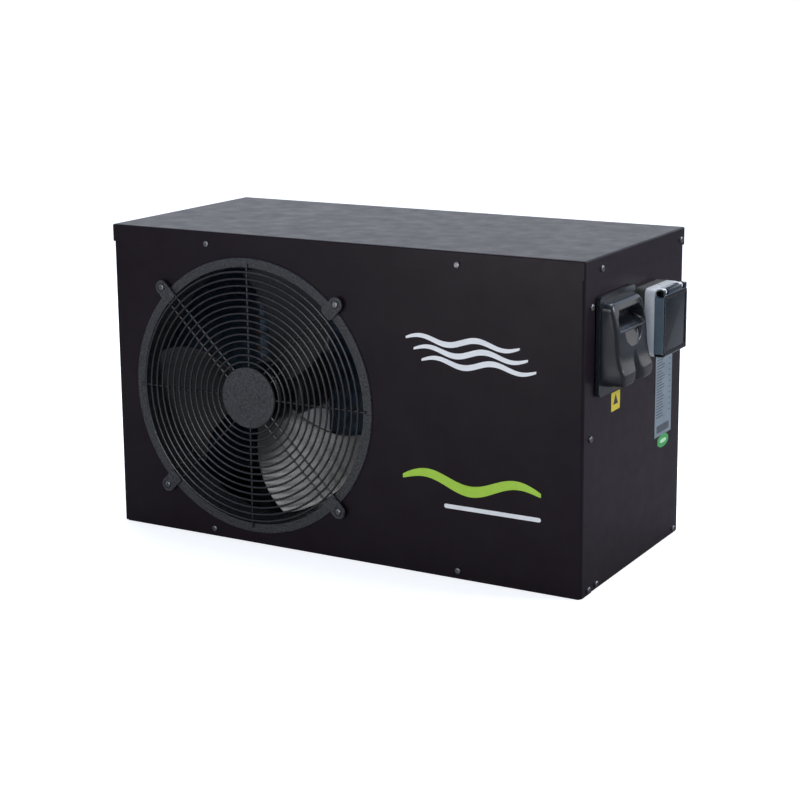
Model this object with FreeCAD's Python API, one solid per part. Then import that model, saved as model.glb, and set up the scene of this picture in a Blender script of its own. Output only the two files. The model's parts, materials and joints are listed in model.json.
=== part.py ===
import FreeCAD, Part
import math
import os

# A small outdoor heat pump for pool water: a sheet-metal cabinet with the fan
# behind a round wire guard on the left and the compressor bay on the right.
# Millimetres. X runs to the right seen from the front, the front faces -Y, Z is up.
# The origin is the centre of the four floor bolts, on the underside of the base pan.

# Cabinet
width = 750.0
depth = 340.0
height = 450.0
sheet = 1.2
panel_lift = 1.5
corner_radius = 4.0
flange_width = 32.0
rear_flange = 18.0
cover_skirt = 25.0
cover_gap = 0.3
cover_radius = 2.5
tuck = 3.0
base_wall = 36.0
bolt_spacing_x = 560.0
bolt_spacing_y = 240.0
bolt_hole_radius = 5.0
drain_from_left = 175.0
drain_y = 60.0
drain_radius = 8.0
drain_wall = 2.0
drain_height = 10.0
partition_from_left = 450.0
partition_flange = 15.0
partition_head_setback = 70.0

# Screws
screw_radius = 2.2
screw_length = 10.0
screw_head_radius = 4.5
screw_head_height = 2.6
screw_clearance = 0.15

# Fan, its ring and its wire guard
fan_from_left = 236.0
fan_z = 217.0
throat_radius = 188.0
ring_flange = 12.0
throat_gap = 0.3
ring_front = 3.0
ring_wall = 1.5
ring_depth = 60.0
wire_radius = 1.5
wire_first = 52.0
wire_pitch = 9.9
wire_margin = 5.8
hub_plate_radius = 44.5
hub_plate_thickness = 3.5
hub_groove_radius = 20.0
hub_groove_width = 2.2
hub_groove_depth = 0.8
hub_groove_sweep = 54.0
hub_groove_angles = (50.0, 175.0, 295.0)
lug_screw_out = 8.0
lug_width = 20.5
lug_thickness = 2.0
lug_overlap = 4.0
spoke_overlap = 4.0
hairpin_gap = 16.0
lug_boss_radius = 6.0
lug_dish_radius = 6.8
lug_dish_depth = 0.9
blade_count = 3
blade_tip_gap = 8.0
blade_thickness = 2.6
blade_setback = 12.0
blade_span = 44.0
fan_hub_radius = 42.0
fan_hub_depth = 36.0
fan_hub_wall = 3.0
fan_boss_radius = 11.0
shaft_radius = 5.0
shaft_in_motor = 60.0
nut_height = 8.0
nut_radius = 9.0
motor_radius = 48.0
motor_gap = 2.0
motor_length = 94.0
motor_boss_radius = 15.0
motor_boss_length = 6.0
running_clearance = 0.05
press_clearance = 0.02
bracket_width = 70.0
bracket_flange = 12.0

# Air coil
coil_thickness = 22.0
coil_partition_gap = 25.0
coil_rear_gap = 8.0
coil_left_gap = 9.0
coil_setback = 65.0
coil_bend = 40.0
coil_low = 16.0
coil_top_gap = 22.0
tube_radius = 4.76
tube_clearance = 0.1
tube_pitch = 25.4
plate_thickness = 1.5
guard_wire = 1.2
guard_low = 8.0
guard_top_gap = 28.0
guard_rows = 24
guard_bars = 7
post_leg = 28.0

# Compressor bay
compressor_from_partition = 95.0
compressor_y = 30.0
compressor_radius = 60.0
compressor_low = 20.0
compressor_top = 250.0
foot_radius = 82.0
foot_thickness = 3.0
foot_pad_radius = 14.0
grommet_radius = 11.0
grommet_bore = 4.2
foot_bolt_radius = 4.0
foot_bolt_head = 8.0
accumulator_from_partition = 35.0
accumulator_from_rear = 45.0
accumulator_radius = 24.0
accumulator_low = 70.0
accumulator_top = 205.0
valve_z = 330.0
valve_radius = 14.0
valve_length = 100.0
port_spacing = 35.0
port_radius = 6.0
port_length = 10.0
copper_radius = 5.0
liquid_radius = 3.5
condenser_radius = 55.0
condenser_side_gap = 12.6
condenser_from_rear = 98.0
condenser_wall = 5.0
condenser_low = 20.0
condenser_top = 325.0
water_low = 90.0
water_high = 262.0
pipe_outer = 25.0
pipe_inner = 21.0
thread_radius = 33.0
thread_out = 12.0
thread_length = 8.0
socket_radius = 25.1
socket_outer = 30.0
tail_length = 38.0
lip_thickness = 6.0
nut_clearance = 0.3
nut_outer = 39.0
nut_rib_count = 10
gland_from_union = 65.0
gland_z = 62.0
gland_bore = 5.5
gland_thread = 8.0
gland_length = 22.0
ebox_right_gap = 17.0
ebox_setback = 10.0
ebox_width = 94.0
ebox_height = 118.0
ebox_top_gap = 32.0

# Moulded service cover on the right side, from the front edge of the cabinet
cover_plate_front = 36.0
cover_plate_rear = 155.0
cover_plate_low = 265.0
cover_plate_top = 398.0
cover_plate_thickness = 7.0
bulge_front = 43.0
bulge_rear = 148.0
bulge_low = 286.0
bulge_top = 388.0
bulge_wall = 3.0
bulge_corner = 12.0
bulge_out_top = 20.0
bulge_out_brow = 29.0
bulge_out_waist = 32.0
bulge_out_foot = 39.0
bulge_brow_z = 345.0
bulge_waist_z = 318.0
bulge_foot_lip = 14.0
leg_spread = 13.0
leg_flare = 10.0
leg_depth = 17.0
leg_top = 328.0
grip_front = 52.0
grip_rear = 136.0
grip_top = 377.0
grip_ridge = 352.0
grip_low = 329.0
grip_floor = 8.0
grip_sill = 24.0
grip_sill_drop = 8.0
grip_brow_slope = 4.0
grip_dish_out = 26.0

# Controller on the right side
control_front = 168.0
control_width = 85.0
control_low = 296.0
control_top = 389.0
control_base = 14.0
control_case = 28.0
control_lid = 42.0
lid_gap = 0.3
lid_rebate = 1.8
lid_rebate_rise = 2.0
lid_wall = 2.0
case_wall = 3.0
pin_out = 34.0
pin_drop = 5.0
pin_radius = 1.5
barrel_radius = 4.0
ear_radius = 4.5
ear_start = 9.0
ear_width = 9.0
ear_gap = 0.5
ear_notch_drop = 1.5
button_radius = 4.0
button_proud = 1.6
button_travel = 1.2
button_clearance = 0.3
button_spacing = 16.0
button_z = 318.0
window_width = 40.0
window_height = 20.0
window_z = 356.0

# Labels on the right side
plate_front = 247.0
plate_width = 61.0
plate_low = 161.0
plate_top = 294.0
warning_front = 92.0
warning_width = 29.0
warning_low = 234.0
warning_height = 25.5
sticker_from_front = 279.0
sticker_z = 148.0
sticker_radius = 10.5
label_thickness = 0.3

# Values that follow from the sizes above
half_width = width / 2
half_depth = depth / 2
side_face = half_width - sheet
side_inner = side_face - sheet
base_half_x = side_inner - sheet
base_half_y = half_depth - sheet
cover_half_x = half_width + cover_gap + sheet
cover_half_y = half_depth + cover_gap + sheet
skirt_bottom = height - cover_skirt
panel_top = height - sheet - 2.0
ring_face = half_depth + ring_front
spoke_y = -(ring_face + wire_radius)
rings_y = spoke_y - 2 * wire_radius
spoke_front = ring_face + 2 * wire_radius
lug_front = spoke_front + lug_thickness
lug_seat = lug_front - lug_dish_depth
drain_x = -half_width + drain_from_left
partition_x = -half_width + partition_from_left
fan_x = -half_width + fan_from_left
ring_radius = throat_radius + ring_flange
lug_screw_radius = ring_radius + lug_screw_out
lug_inner = throat_radius - lug_overlap
blade_tip = throat_radius - blade_tip_gap
wire_count = 1 + int((throat_radius - ring_wall - wire_margin - wire_first) / wire_pitch + 0.001)
blade_front = half_depth - blade_setback
blade_rear = blade_front - blade_span
motor_front = blade_rear - motor_gap
motor_rear = motor_front - motor_length
shaft_rear = motor_front - shaft_in_motor
coil_y = half_depth - coil_rear_gap - coil_thickness / 2
coil_x = -(half_width - coil_left_gap - coil_thickness / 2)
coil_right = partition_x - coil_partition_gap
coil_front_end = half_depth - coil_setback
coil_height = height - coil_low - coil_top_gap
tube_rows = 2 * int(coil_height / tube_pitch / 2)
guard_top = height - guard_top_gap
compressor_x = partition_x + compressor_from_partition
accumulator_x = partition_x + accumulator_from_partition
accumulator_y = half_depth - accumulator_from_rear
condenser_x = side_inner - condenser_side_gap - condenser_radius
condenser_y = half_depth - condenser_from_rear
thread_start = half_depth + thread_out
thread_end = thread_start + thread_length
socket_end = thread_end + tail_length
gland_x = condenser_x - gland_from_union
ebox_right = half_width - ebox_right_gap
ebox_front = half_depth - ebox_setback
ebox_rear = ebox_front - ebox_width
ebox_top = height - ebox_top_gap
ebox_low = ebox_top - ebox_height
first_tube = coil_low + coil_height / 2 - tube_pitch * (tube_rows - 1) / 2
stub_end = partition_x + sheet + 4.0
pin_x = side_face + pin_out
pin_z = control_top - pin_drop


def vec(x, y, z):
    return FreeCAD.Vector(x, y, z)


def from_front(distance):
    return -half_depth + distance


def box(x0, x1, y0, y1, z0, z1):
    return Part.makeBox(x1 - x0, y1 - y0, z1 - z0, vec(x0, y0, z0))


def rod(start, way, radius, length):
    return Part.makeCylinder(radius, length, vec(*start), vec(*way))


def tube(start, way, outer, inner, length):
    return rod(start, way, outer, length).cut(rod(start, way, inner, length))


def fused(shapes):
    return shapes[0].multiFuse(shapes[1:]).removeSplitter()


def turned(shape, x, z, degrees):
    copy = shape.copy()
    copy.rotate(vec(x, 0, z), vec(0, -1, 0), degrees)
    return copy


def edges_along(shape, way):
    found = []
    for edge in shape.Edges:
        run = edge.Vertexes[-1].Point - edge.Vertexes[0].Point
        straight = isinstance(edge.Curve, (Part.Line, Part.LineSegment))
        if straight and run.cross(vec(*way)).Length < 1e-6:
            found.append(edge)
    return found


def round_edges(shape, way, radius, keep=None):
    picked = [e for e in edges_along(shape, way) if keep is None or keep(e.CenterOfMass)]
    return shape.makeFillet(radius, picked)


def pipe_path(points, bend):
    corners = [vec(*p) for p in points]
    edges = []
    last = corners[0]
    for before, corner, after in zip(corners, corners[1:], corners[2:]):
        way_in = (corner - before).normalize()
        way_out = (after - corner).normalize()
        half_turn = way_in.getAngle(way_out) / 2
        reach = bend * math.tan(half_turn)
        start = corner - way_in * reach
        end = corner + way_out * reach
        inward = (way_out - way_in).normalize()
        middle = corner + inward * (bend / math.cos(half_turn) - bend)
        if (start - last).Length > 1e-6:
            edges.append(Part.LineSegment(last, start).toShape())
        edges.append(Part.Arc(start, middle, end).toShape())
        last = end
    if (corners[-1] - last).Length > 1e-6:
        edges.append(Part.LineSegment(last, corners[-1]).toShape())
    return Part.Wire(edges)


def pipe(points, radius, bend):
    path = pipe_path(points, bend)
    way = vec(*points[1]) - vec(*points[0])
    ring = Part.Wire(Part.Circle(vec(*points[0]), way, radius).toShape())
    return path.makePipeShell([ring], True, False)


def screw_shape():
    head = rod((0, 0, 0), (0, 0, 1), screw_head_radius, screw_head_height)
    top = [e for e in head.Edges if abs(e.CenterOfMass.z - screw_head_height) < 1e-6]
    head = head.makeFillet(screw_head_height * 0.6, top)
    slot_half = screw_head_radius * 0.55
    slot_width = screw_head_radius * 0.12
    slot_floor = screw_head_height * 0.55
    along = box(-slot_half, slot_half, -slot_width, slot_width, slot_floor, screw_head_height)
    across = box(-slot_width, slot_width, -slot_half, slot_half, slot_floor, screw_head_height)
    shank = rod((0, 0, -screw_length), (0, 0, 1), screw_radius, screw_length)
    return fused([head.cut(along).cut(across), shank])


def screws_at(places):
    one = screw_shape()
    made = []
    for point, way in places:
        copy = one.copy()
        copy.Placement = FreeCAD.Placement(vec(*point), FreeCAD.Rotation(vec(0, 0, 1), vec(*way)))
        made.append(copy)
    return Part.makeCompound(made)


def bores_at(places):
    reach = screw_length + 2 * screw_clearance
    bores = []
    for point, way in places:
        start = vec(*point) + vec(*way) * 0.5
        radius = screw_radius + screw_clearance
        bores.append(Part.makeCylinder(radius, reach + 0.5, start, vec(*way) * -1))
    return bores


def cabinet_screw_places():
    left = (-1, 0, 0)
    right = (1, 0, 0)
    front = (0, -1, 0)
    rear = (0, 1, 0)
    cover_z = skirt_bottom + 7.0
    low_z = 8.0
    places = []
    for x in (-half_width + 166.0, half_width - 182.0):
        places.append(((x, -cover_half_y, cover_z), front))
        places.append(((x, cover_half_y, cover_z), rear))
        places.append(((x, -half_depth, low_z + 3.5), front))
    for y in (from_front(50.0), half_depth - 14.0):
        places.append(((cover_half_x, y, cover_z + 1.5), right))
        places.append(((side_face, y, low_z), right))
    places.append(((-cover_half_x, from_front(22.5), cover_z + 1.5), left))
    places.append(((-cover_half_x, half_depth - 14.0, cover_z + 1.5), left))
    for z in (low_z, 213.0, 387.0):
        places.append(((half_width, from_front(22.5), z), right))
        places.append(((-half_width, from_front(22.5), z), left))
    for z in (low_z + 5.0, 213.0, 387.0):
        places.append(((partition_x + 8.0, half_depth, z), rear))
        places.append(((side_face - 24.0, half_depth, z), rear))
    places.append(((-half_width + 17.0, half_depth, low_z + 5.0), rear))
    return places


def guard_screw_places():
    reach = lug_screw_radius / math.sqrt(2)
    corners = [(sx, sz) for sx in (-1, 1) for sz in (-1, 1)]
    return [((fan_x + sx * reach, -lug_seat, fan_z + sz * reach), (0, -1, 0)) for sx, sz in corners]


screw_bores = bores_at(cabinet_screw_places())
guard_bores = bores_at(guard_screw_places())


def base_pan():
    outer = box(-base_half_x, base_half_x, -base_half_y, base_half_y, 0, base_wall)
    outer = round_edges(outer, (0, 0, 1), sheet + 1.8)
    inner = box(
        -base_half_x + sheet, base_half_x - sheet, -base_half_y + sheet, base_half_y - sheet, sheet, base_wall
    )
    inner = round_edges(inner, (0, 0, 1), 1.8)
    holes = []
    for sx in (-1, 1):
        for sy in (-1, 1):
            corner = (sx * bolt_spacing_x / 2, sy * bolt_spacing_y / 2, 0)
            holes.append(rod(corner, (0, 0, 1), bolt_hole_radius, sheet))
    drain = rod((drain_x, drain_y, 0), (0, 0, 1), drain_radius + drain_wall, sheet)
    throat = rod((fan_x, -half_depth, fan_z), (0, 1, 0), throat_radius + throat_gap, ring_depth)
    return outer.cut([inner, drain, throat] + holes + screw_bores)


def drain_bush():
    outer_radius = drain_radius + drain_wall
    stem = tube((drain_x, drain_y, 0), (0, 0, 1), outer_radius, drain_radius, drain_height)
    collar = tube((drain_x, drain_y, sheet), (0, 0, 1), outer_radius + 3.0, drain_radius, drain_wall)
    return fused([stem, collar])


def front_panel():
    rear_edge = from_front(flange_width)
    outer = box(-half_width, half_width, -half_depth, half_depth, panel_lift, panel_top)
    outer = round_edges(outer, (0, 0, 1), corner_radius)
    inner = box(
        -side_face, side_face, from_front(sheet), half_depth, panel_lift, panel_top
    )
    inner = round_edges(inner, (0, 0, 1), corner_radius - sheet)
    behind = box(-width, width, rear_edge, depth, 0, height)
    opening = rod((fan_x, -half_depth, fan_z), (0, 1, 0), throat_radius + throat_gap, sheet)
    return outer.cut([inner, behind, opening] + screw_bores + guard_bores)


def right_side_panel():
    plate = box(side_inner, side_face, from_front(sheet + tuck), half_depth, panel_lift, panel_top)
    return plate.cut(screw_bores)


def rear_panel():
    left = partition_x - rear_flange + 8.0
    outer = box(left, side_inner, half_depth - rear_flange, half_depth, panel_lift, panel_top)
    corner = lambda p: p.x > left + 1 and p.y > half_depth - 1
    outer = round_edges(outer, (0, 0, 1), 2.4, corner)
    inner = box(left, side_inner - sheet, 0, base_half_y, panel_lift, panel_top)
    inner = round_edges(inner, (0, 0, 1), 1.2, lambda p: p.x > left + 1 and p.y > base_half_y - 1)
    holes = [rod((condenser_x, 0, z), (0, 1, 0), pipe_outer + 2.0, depth) for z in (water_low, water_high)]
    gland = rod((gland_x, 0, gland_z), (0, 1, 0), gland_thread + 0.1, depth)
    return outer.cut([inner, gland] + holes + screw_bores)


def top_cover():
    outer = box(-cover_half_x, cover_half_x, -cover_half_y, cover_half_y, skirt_bottom, height)
    outer = round_edges(outer, (0, 0, 1), cover_radius)
    rim = [e for e in outer.Edges if abs(e.CenterOfMass.z - height) < 1e-6]
    outer = outer.makeFillet(cover_radius - 0.1, rim)
    inside_x = cover_half_x - sheet
    inside_y = cover_half_y - sheet
    inner = box(-inside_x, inside_x, -inside_y, inside_y, skirt_bottom, height - sheet)
    inner = round_edges(inner, (0, 0, 1), cover_radius - sheet)
    return outer.cut([inner] + screw_bores)


def partition_plate():
    top = panel_top
    edge = base_half_y - sheet
    flange = partition_x + partition_flange
    head_front = from_front(partition_head_setback)
    head_rear = half_depth - partition_head_setback
    plate = box(partition_x, partition_x + sheet, -edge, edge, sheet, top)
    foot = box(partition_x, flange, -edge, edge, sheet, 2 * sheet)
    head = box(partition_x, flange, head_front, head_rear, top - sheet, top)
    rear_tab = box(partition_x, flange + 1.0, edge - sheet, edge, base_wall + 4.0, skirt_bottom - 5.0)
    passes = []
    for row in (0, tube_rows - 1):
        z = first_tube + row * tube_pitch
        passes.append(rod((partition_x - 5, coil_y, z), (1, 0, 0), tube_radius + 2.0, 25.0))
    return fused([plate, foot, head, rear_tab]).cut(passes + screw_bores)


def rear_left_post():
    legs = box(-half_width, -half_width + post_leg, half_depth - post_leg, half_depth, panel_lift, panel_top)
    outer_corner = lambda p: p.x < 1 - half_width and p.y > half_depth - 1
    legs = round_edges(legs, (0, 0, 1), corner_radius, outer_corner)
    inside = box(
        -side_face, half_width, -half_depth, base_half_y, panel_lift, panel_top
    )
    inside = round_edges(inside, (0, 0, 1), corner_radius - sheet, lambda p: p.x < 0 and p.y > 0)
    return legs.cut([inside] + screw_bores)


def rear_coil_guard():
    first = -half_width + post_leg + 8.0
    last = partition_x - rear_flange
    wires = []
    bar_y = base_half_y + guard_wire
    for i in range(guard_bars):
        x = first + i * (last - first) / (guard_bars - 1)
        wires.append(rod((x, bar_y, guard_low), (0, 0, 1), guard_wire, guard_top - guard_low))
    low = base_wall + 6.0
    row_y = base_half_y - guard_wire
    for i in range(guard_rows):
        z = low + i * (guard_top - 4.0 - low) / (guard_rows - 1)
        wires.append(rod((first - 12.0, row_y, z), (1, 0, 0), guard_wire, last - first + 18.0))
    return Part.makeCompound(wires)


def left_coil_guard():
    first = from_front(flange_width) + 8.0
    last = half_depth - post_leg - 8.0
    bars = guard_bars - 2
    wires = []
    bar_x = -base_half_x - guard_wire
    for i in range(bars):
        y = first + i * (last - first) / (bars - 1)
        wires.append(rod((bar_x, y, guard_low), (0, 0, 1), guard_wire, guard_top - guard_low))
    low = base_wall + 6.0
    row_x = -base_half_x + guard_wire
    for i in range(guard_rows):
        z = low + i * (guard_top - 4.0 - low) / (guard_rows - 1)
        wires.append(rod((row_x, first - 12.0, z), (0, 1, 0), guard_wire, last - first + 20.0))
    return Part.makeCompound(wires)


def coil_row(z, radius, lead):
    points = ((coil_right + lead, coil_y, z), (coil_x, coil_y, z), (coil_x, -coil_front_end - lead, z))
    return pipe(points, radius, coil_bend)


def evaporator_fins():
    half = coil_thickness / 2
    bend_x = coil_x + coil_bend
    bend_y = coil_y - coil_bend
    top = coil_low + coil_height
    rear = box(bend_x, coil_right, coil_y - half, coil_y + half, coil_low, top)
    side = box(coil_x - half, coil_x + half, -coil_front_end, bend_y, coil_low, top)
    bend = tube((bend_x, bend_y, coil_low), (0, 0, 1), coil_bend + half, coil_bend - half, coil_height)
    bend = bend.common(box(bend_x - 2 * coil_bend, bend_x, bend_y, bend_y + 2 * coil_bend, coil_low, top))
    pack = fused([rear, bend, side])
    rows = []
    for row in range(tube_rows):
        rows.append(coil_row(first_tube + row * tube_pitch, tube_radius + tube_clearance, 1.0))
    return pack.cut(rows)


def tube_path():
    right_x = coil_right + plate_thickness + 2.5
    front_y = -coil_front_end - plate_thickness - 2.5
    radius = tube_pitch / 2
    bend_x = coil_x + coil_bend
    bend_y = coil_y - coil_bend
    lean = coil_bend * (1 - math.sqrt(0.5))
    edges = []
    for row in range(tube_rows):
        z = first_tube + row * tube_pitch
        inner_end = vec(right_x, coil_y, z)
        if row in (0, tube_rows - 1):
            inner_end = vec(stub_end, coil_y, z)
        rear_end = vec(bend_x, coil_y, z)
        corner = vec(coil_x + lean, coil_y - lean, z)
        side_start = vec(coil_x, bend_y, z)
        outer_end = vec(coil_x, front_y, z)
        run = [
            Part.LineSegment(inner_end, rear_end).toShape(),
            Part.Arc(rear_end, corner, side_start).toShape(),
            Part.LineSegment(side_start, outer_end).toShape(),
        ]
        over = vec(0, 0, tube_pitch)
        half_over = vec(0, 0, radius)
        if row % 2 == 0:
            edges += run
            turn = Part.Arc(outer_end, outer_end + half_over + vec(0, -radius, 0), outer_end + over)
            edges.append(turn.toShape())
        else:
            edges += run[::-1]
            if row < tube_rows - 1:
                turn = Part.Arc(inner_end, inner_end + half_over + vec(radius, 0, 0), inner_end + over)
                edges.append(turn.toShape())
    return Part.Wire(edges)


def evaporator_tubes():
    path = tube_path()
    ring = Part.Wire(Part.Circle(vec(stub_end, coil_y, first_tube), vec(1, 0, 0), tube_radius).toShape())
    serpentine = path.makePipeShell([ring], True, False)
    print("coil tube: volume over section times length",
          serpentine.Volume / (math.pi * tube_radius ** 2 * path.Length))
    return serpentine


def evaporator_end_plates():
    half = coil_thickness / 2 + 4.0
    top = coil_low + coil_height + 4.0
    right = box(coil_right, coil_right + plate_thickness, coil_y - half, coil_y + half, sheet, top)
    front = box(
        coil_x - half + 2.0, coil_x + half, -coil_front_end - plate_thickness, -coil_front_end, sheet, top
    )
    rows = []
    for row in range(tube_rows):
        rows.append(coil_row(first_tube + row * tube_pitch, tube_radius + tube_clearance, 4.0))
    return Part.makeCompound([right.cut(rows), front.cut(rows)])


def fan_shroud():
    front = (fan_x, -ring_face, fan_z)
    flange = tube(front, (0, 1, 0), ring_radius, throat_radius - ring_wall, ring_front)
    rim = [e for e in flange.Edges if abs(e.CenterOfMass.y + ring_face) < 1e-6 and e.Length > 6 * ring_radius]
    flange = flange.makeFillet(ring_front * 0.5, rim)
    throat = tube(front, (0, 1, 0), throat_radius, throat_radius - ring_wall, ring_depth)
    return fused([flange, throat])


def grille_rings():
    rings = []
    for i in range(wire_count):
        radius = wire_first + i * wire_pitch
        rings.append(Part.makeTorus(radius, wire_radius, vec(fan_x, rings_y, fan_z), vec(0, 1, 0)))
    return Part.makeCompound(rings)


def hairpin():
    side = hairpin_gap / 2
    inner = hub_plate_radius - 12.0
    low_start = vec(fan_x + inner, spoke_y, fan_z - side)
    low_end = vec(fan_x + lug_screw_radius, spoke_y, fan_z - side)
    tip = vec(fan_x + lug_screw_radius + side, spoke_y, fan_z)
    high_end = vec(fan_x + lug_screw_radius, spoke_y, fan_z + side)
    high_start = vec(fan_x + inner, spoke_y, fan_z + side)
    path = Part.Wire([
        Part.LineSegment(low_start, low_end).toShape(),
        Part.Arc(low_end, tip, high_end).toShape(),
        Part.LineSegment(high_end, high_start).toShape(),
    ])
    ring = Part.Wire(Part.Circle(low_start, vec(1, 0, 0), wire_radius).toShape())
    return path.makePipeShell([ring], True, False)


def grille_spokes():
    inner = hub_plate_radius - 12.0
    outer = throat_radius + spoke_overlap
    spoke = rod((fan_x + inner, spoke_y, fan_z), (1, 0, 0), wire_radius, outer - inner)
    loop = hairpin()
    wires = []
    for quarter in range(4):
        wires.append(turned(spoke, fan_x, fan_z, 90.0 * quarter))
        wires.append(turned(loop, fan_x, fan_z, 45.0 + 90.0 * quarter))
    return Part.makeCompound(wires)


def hub_groove(angle):
    face = -spoke_front - hub_plate_thickness
    outer = hub_groove_radius + hub_groove_width / 2
    inner = hub_groove_radius - hub_groove_width / 2
    centre = vec(fan_x, face, fan_z)
    sector = Part.makeCylinder(outer, hub_groove_depth, centre, vec(0, 1, 0), hub_groove_sweep)
    sector = sector.cut(rod((fan_x, face, fan_z), (0, 1, 0), inner, hub_groove_depth))
    return turned(sector, fan_x, fan_z, angle)


def grille_hub():
    back = -spoke_front
    plate = rod((fan_x, back, fan_z), (0, -1, 0), hub_plate_radius, hub_plate_thickness)
    front = [e for e in plate.Edges if abs(e.CenterOfMass.y - back + hub_plate_thickness) < 1e-6]
    plate = plate.makeFillet(hub_plate_thickness * 0.5, front)
    return plate.cut([hub_groove(angle) for angle in hub_groove_angles])


def grille_lug():
    side = lug_width / 2
    y0 = -lug_front
    y1 = -spoke_front
    tab = box(fan_x + lug_inner, fan_x + lug_screw_radius, y0, y1, fan_z - side, fan_z + side)
    tab = round_edges(tab, (0, 1, 0), 5.0, lambda p: p.x < fan_x + lug_inner + 1)
    centre = fan_x + lug_screw_radius
    end = rod((centre, y1, fan_z), (0, -1, 0), side, lug_thickness)
    boss = rod((centre, -half_depth, fan_z), (0, -1, 0), lug_boss_radius, lug_front - half_depth)
    hole = rod((centre, -half_depth, fan_z), (0, -1, 0), screw_radius + screw_clearance, lug_front)
    dish = rod((centre, -lug_seat, fan_z), (0, -1, 0), lug_dish_radius, lug_dish_depth)
    return fused([tab, end, boss]).cut([hole, dish])


def grille_lugs():
    lug = grille_lug()
    return Part.makeCompound([turned(lug, fan_x, fan_z, 45.0 + 90.0 * quarter) for quarter in range(4)])


def blade_point(outward, across, offset):
    radius = fan_hub_radius - 1.5 + outward * (blade_tip - fan_hub_radius + 1.5)
    low_angle = -95.0 + 19.0 * outward
    high_angle = -32.0 + 20.0 * outward ** 2
    angle = math.radians(low_angle + across * (high_angle - low_angle))
    middle = -(blade_front + blade_rear) / 2
    swing = (blade_front - blade_rear - blade_thickness) * (0.72 + 0.28 * outward)
    camber = 5.0 * math.sin(math.pi * across)
    y = middle + (across - 0.5) * swing + camber * 0.6 + offset
    return vec(fan_x + radius * math.cos(angle), y, fan_z + radius * math.sin(angle))


def blade():
    faces = []
    for offset in (-blade_thickness / 2, blade_thickness / 2):
        grid = [[blade_point(i / 5, j / 8, offset) for j in range(9)] for i in range(6)]
        surface = Part.BSplineSurface()
        surface.interpolate(grid)
        faces.append(surface.toShape())
    front, rear = faces
    sides = [Part.makeRuledSurface(a, b) for a, b in zip(front.Edges, rear.Edges)]
    shell = Part.Shell(faces + sides)
    shell.sewShape()
    solid = Part.Solid(shell)
    if solid.Volume < 0:
        solid.reverse()
    return solid


def fan_impeller():
    front = (fan_x, -blade_front, fan_z)
    cup = rod(front, (0, 1, 0), fan_hub_radius, fan_hub_depth)
    rim = [e for e in cup.Edges if abs(e.CenterOfMass.y + blade_front) < 1e-6]
    cup = cup.makeFillet(4.0, rim)
    hollow_start = (fan_x, -blade_front + fan_hub_wall + 1.0, fan_z)
    hollow = rod(hollow_start, (0, 1, 0), fan_hub_radius - fan_hub_wall, fan_hub_depth)
    boss = rod(front, (0, 1, 0), fan_boss_radius, fan_hub_depth - 4.0)
    body = fused([cup.cut(hollow), boss])
    one = blade()
    blades = [turned(one, fan_x, fan_z, 360.0 / blade_count * i) for i in range(blade_count)]
    bore = rod(front, (0, 1, 0), shaft_radius + press_clearance, fan_hub_depth)
    return body.multiFuse(blades).cut(bore)


def motor_shaft():
    start = -blade_front - nut_height
    return rod((fan_x, start, fan_z), (0, 1, 0), shaft_radius, -shaft_rear - start)


def fan_nut():
    corners = []
    start = -blade_front - nut_height + 1.0
    for i in range(7):
        angle = math.radians(60.0 * i)
        corners.append(vec(fan_x + nut_radius * math.cos(angle), start, fan_z + nut_radius * math.sin(angle)))
    prism = Part.Face(Part.makePolygon(corners)).extrude(vec(0, nut_height - 1.0, 0))
    return prism.cut(rod((fan_x, start, fan_z), (0, 1, 0), shaft_radius + press_clearance, nut_height))


def fan_motor():
    can = rod((fan_x, -motor_front, fan_z), (0, 1, 0), motor_radius, motor_front - motor_rear)
    ends = [e for e in can.Edges if e.Length > 5 * motor_radius]
    can = can.makeFillet(6.0, ends)
    nose_start = (fan_x, -motor_front - motor_boss_length, fan_z)
    nose = rod(nose_start, (0, 1, 0), motor_boss_radius, motor_boss_length + 10.0)
    bore_length = motor_front + motor_boss_length - shaft_rear + 2.0
    bore = rod(nose_start, (0, 1, 0), shaft_radius + running_clearance, bore_length)
    return fused([can, nose]).cut(bore)


def motor_bracket():
    half = bracket_width / 2
    front = -motor_rear
    web = box(fan_x - half, fan_x + half, front, front + sheet, sheet, panel_top)
    left = box(fan_x - half, fan_x - half + sheet, front, front + bracket_flange, sheet, panel_top)
    right = box(fan_x + half - sheet, fan_x + half, front, front + bracket_flange, sheet, panel_top)
    return fused([web, left, right])


def compressor_foot_places():
    places = []
    for i in range(3):
        angle = math.radians(90.0 + 120.0 * i)
        reach = foot_radius - 8.0
        places.append((compressor_x + reach * math.cos(angle), compressor_y + reach * math.sin(angle)))
    return places


def compressor():
    centre = (compressor_x, compressor_y, compressor_low)
    can = rod(centre, (0, 0, 1), compressor_radius, compressor_top - compressor_low)
    can = can.makeFillet(22.0, [e for e in can.Edges if e.CenterOfMass.z > compressor_top - 1])
    parts = [can]
    for x, y in compressor_foot_places():
        pad = rod((x, y, compressor_low), (0, 0, -1), foot_pad_radius, foot_thickness)
        parts.append(pad)
    parts.append(rod(centre, (0, 0, -1), compressor_radius + 2.0, foot_thickness))
    parts.append(rod((compressor_x, compressor_y, compressor_top - 1), (0, 0, 1), copper_radius + 1.0, 13.0))
    parts.append(rod((compressor_x, compressor_y, 46.0), (-1, 0, 0), 8.0, compressor_radius + 8.0))
    bolts = [rod((x, y, 0), (0, 0, 1), grommet_bore, compressor_low) for x, y in compressor_foot_places()]
    return fused(parts).cut(bolts)


def compressor_grommets():
    top = compressor_low - foot_thickness
    rings = []
    for x, y in compressor_foot_places():
        rings.append(tube((x, y, sheet), (0, 0, 1), grommet_radius, grommet_bore, top - sheet))
    return Part.makeCompound(rings)


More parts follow.
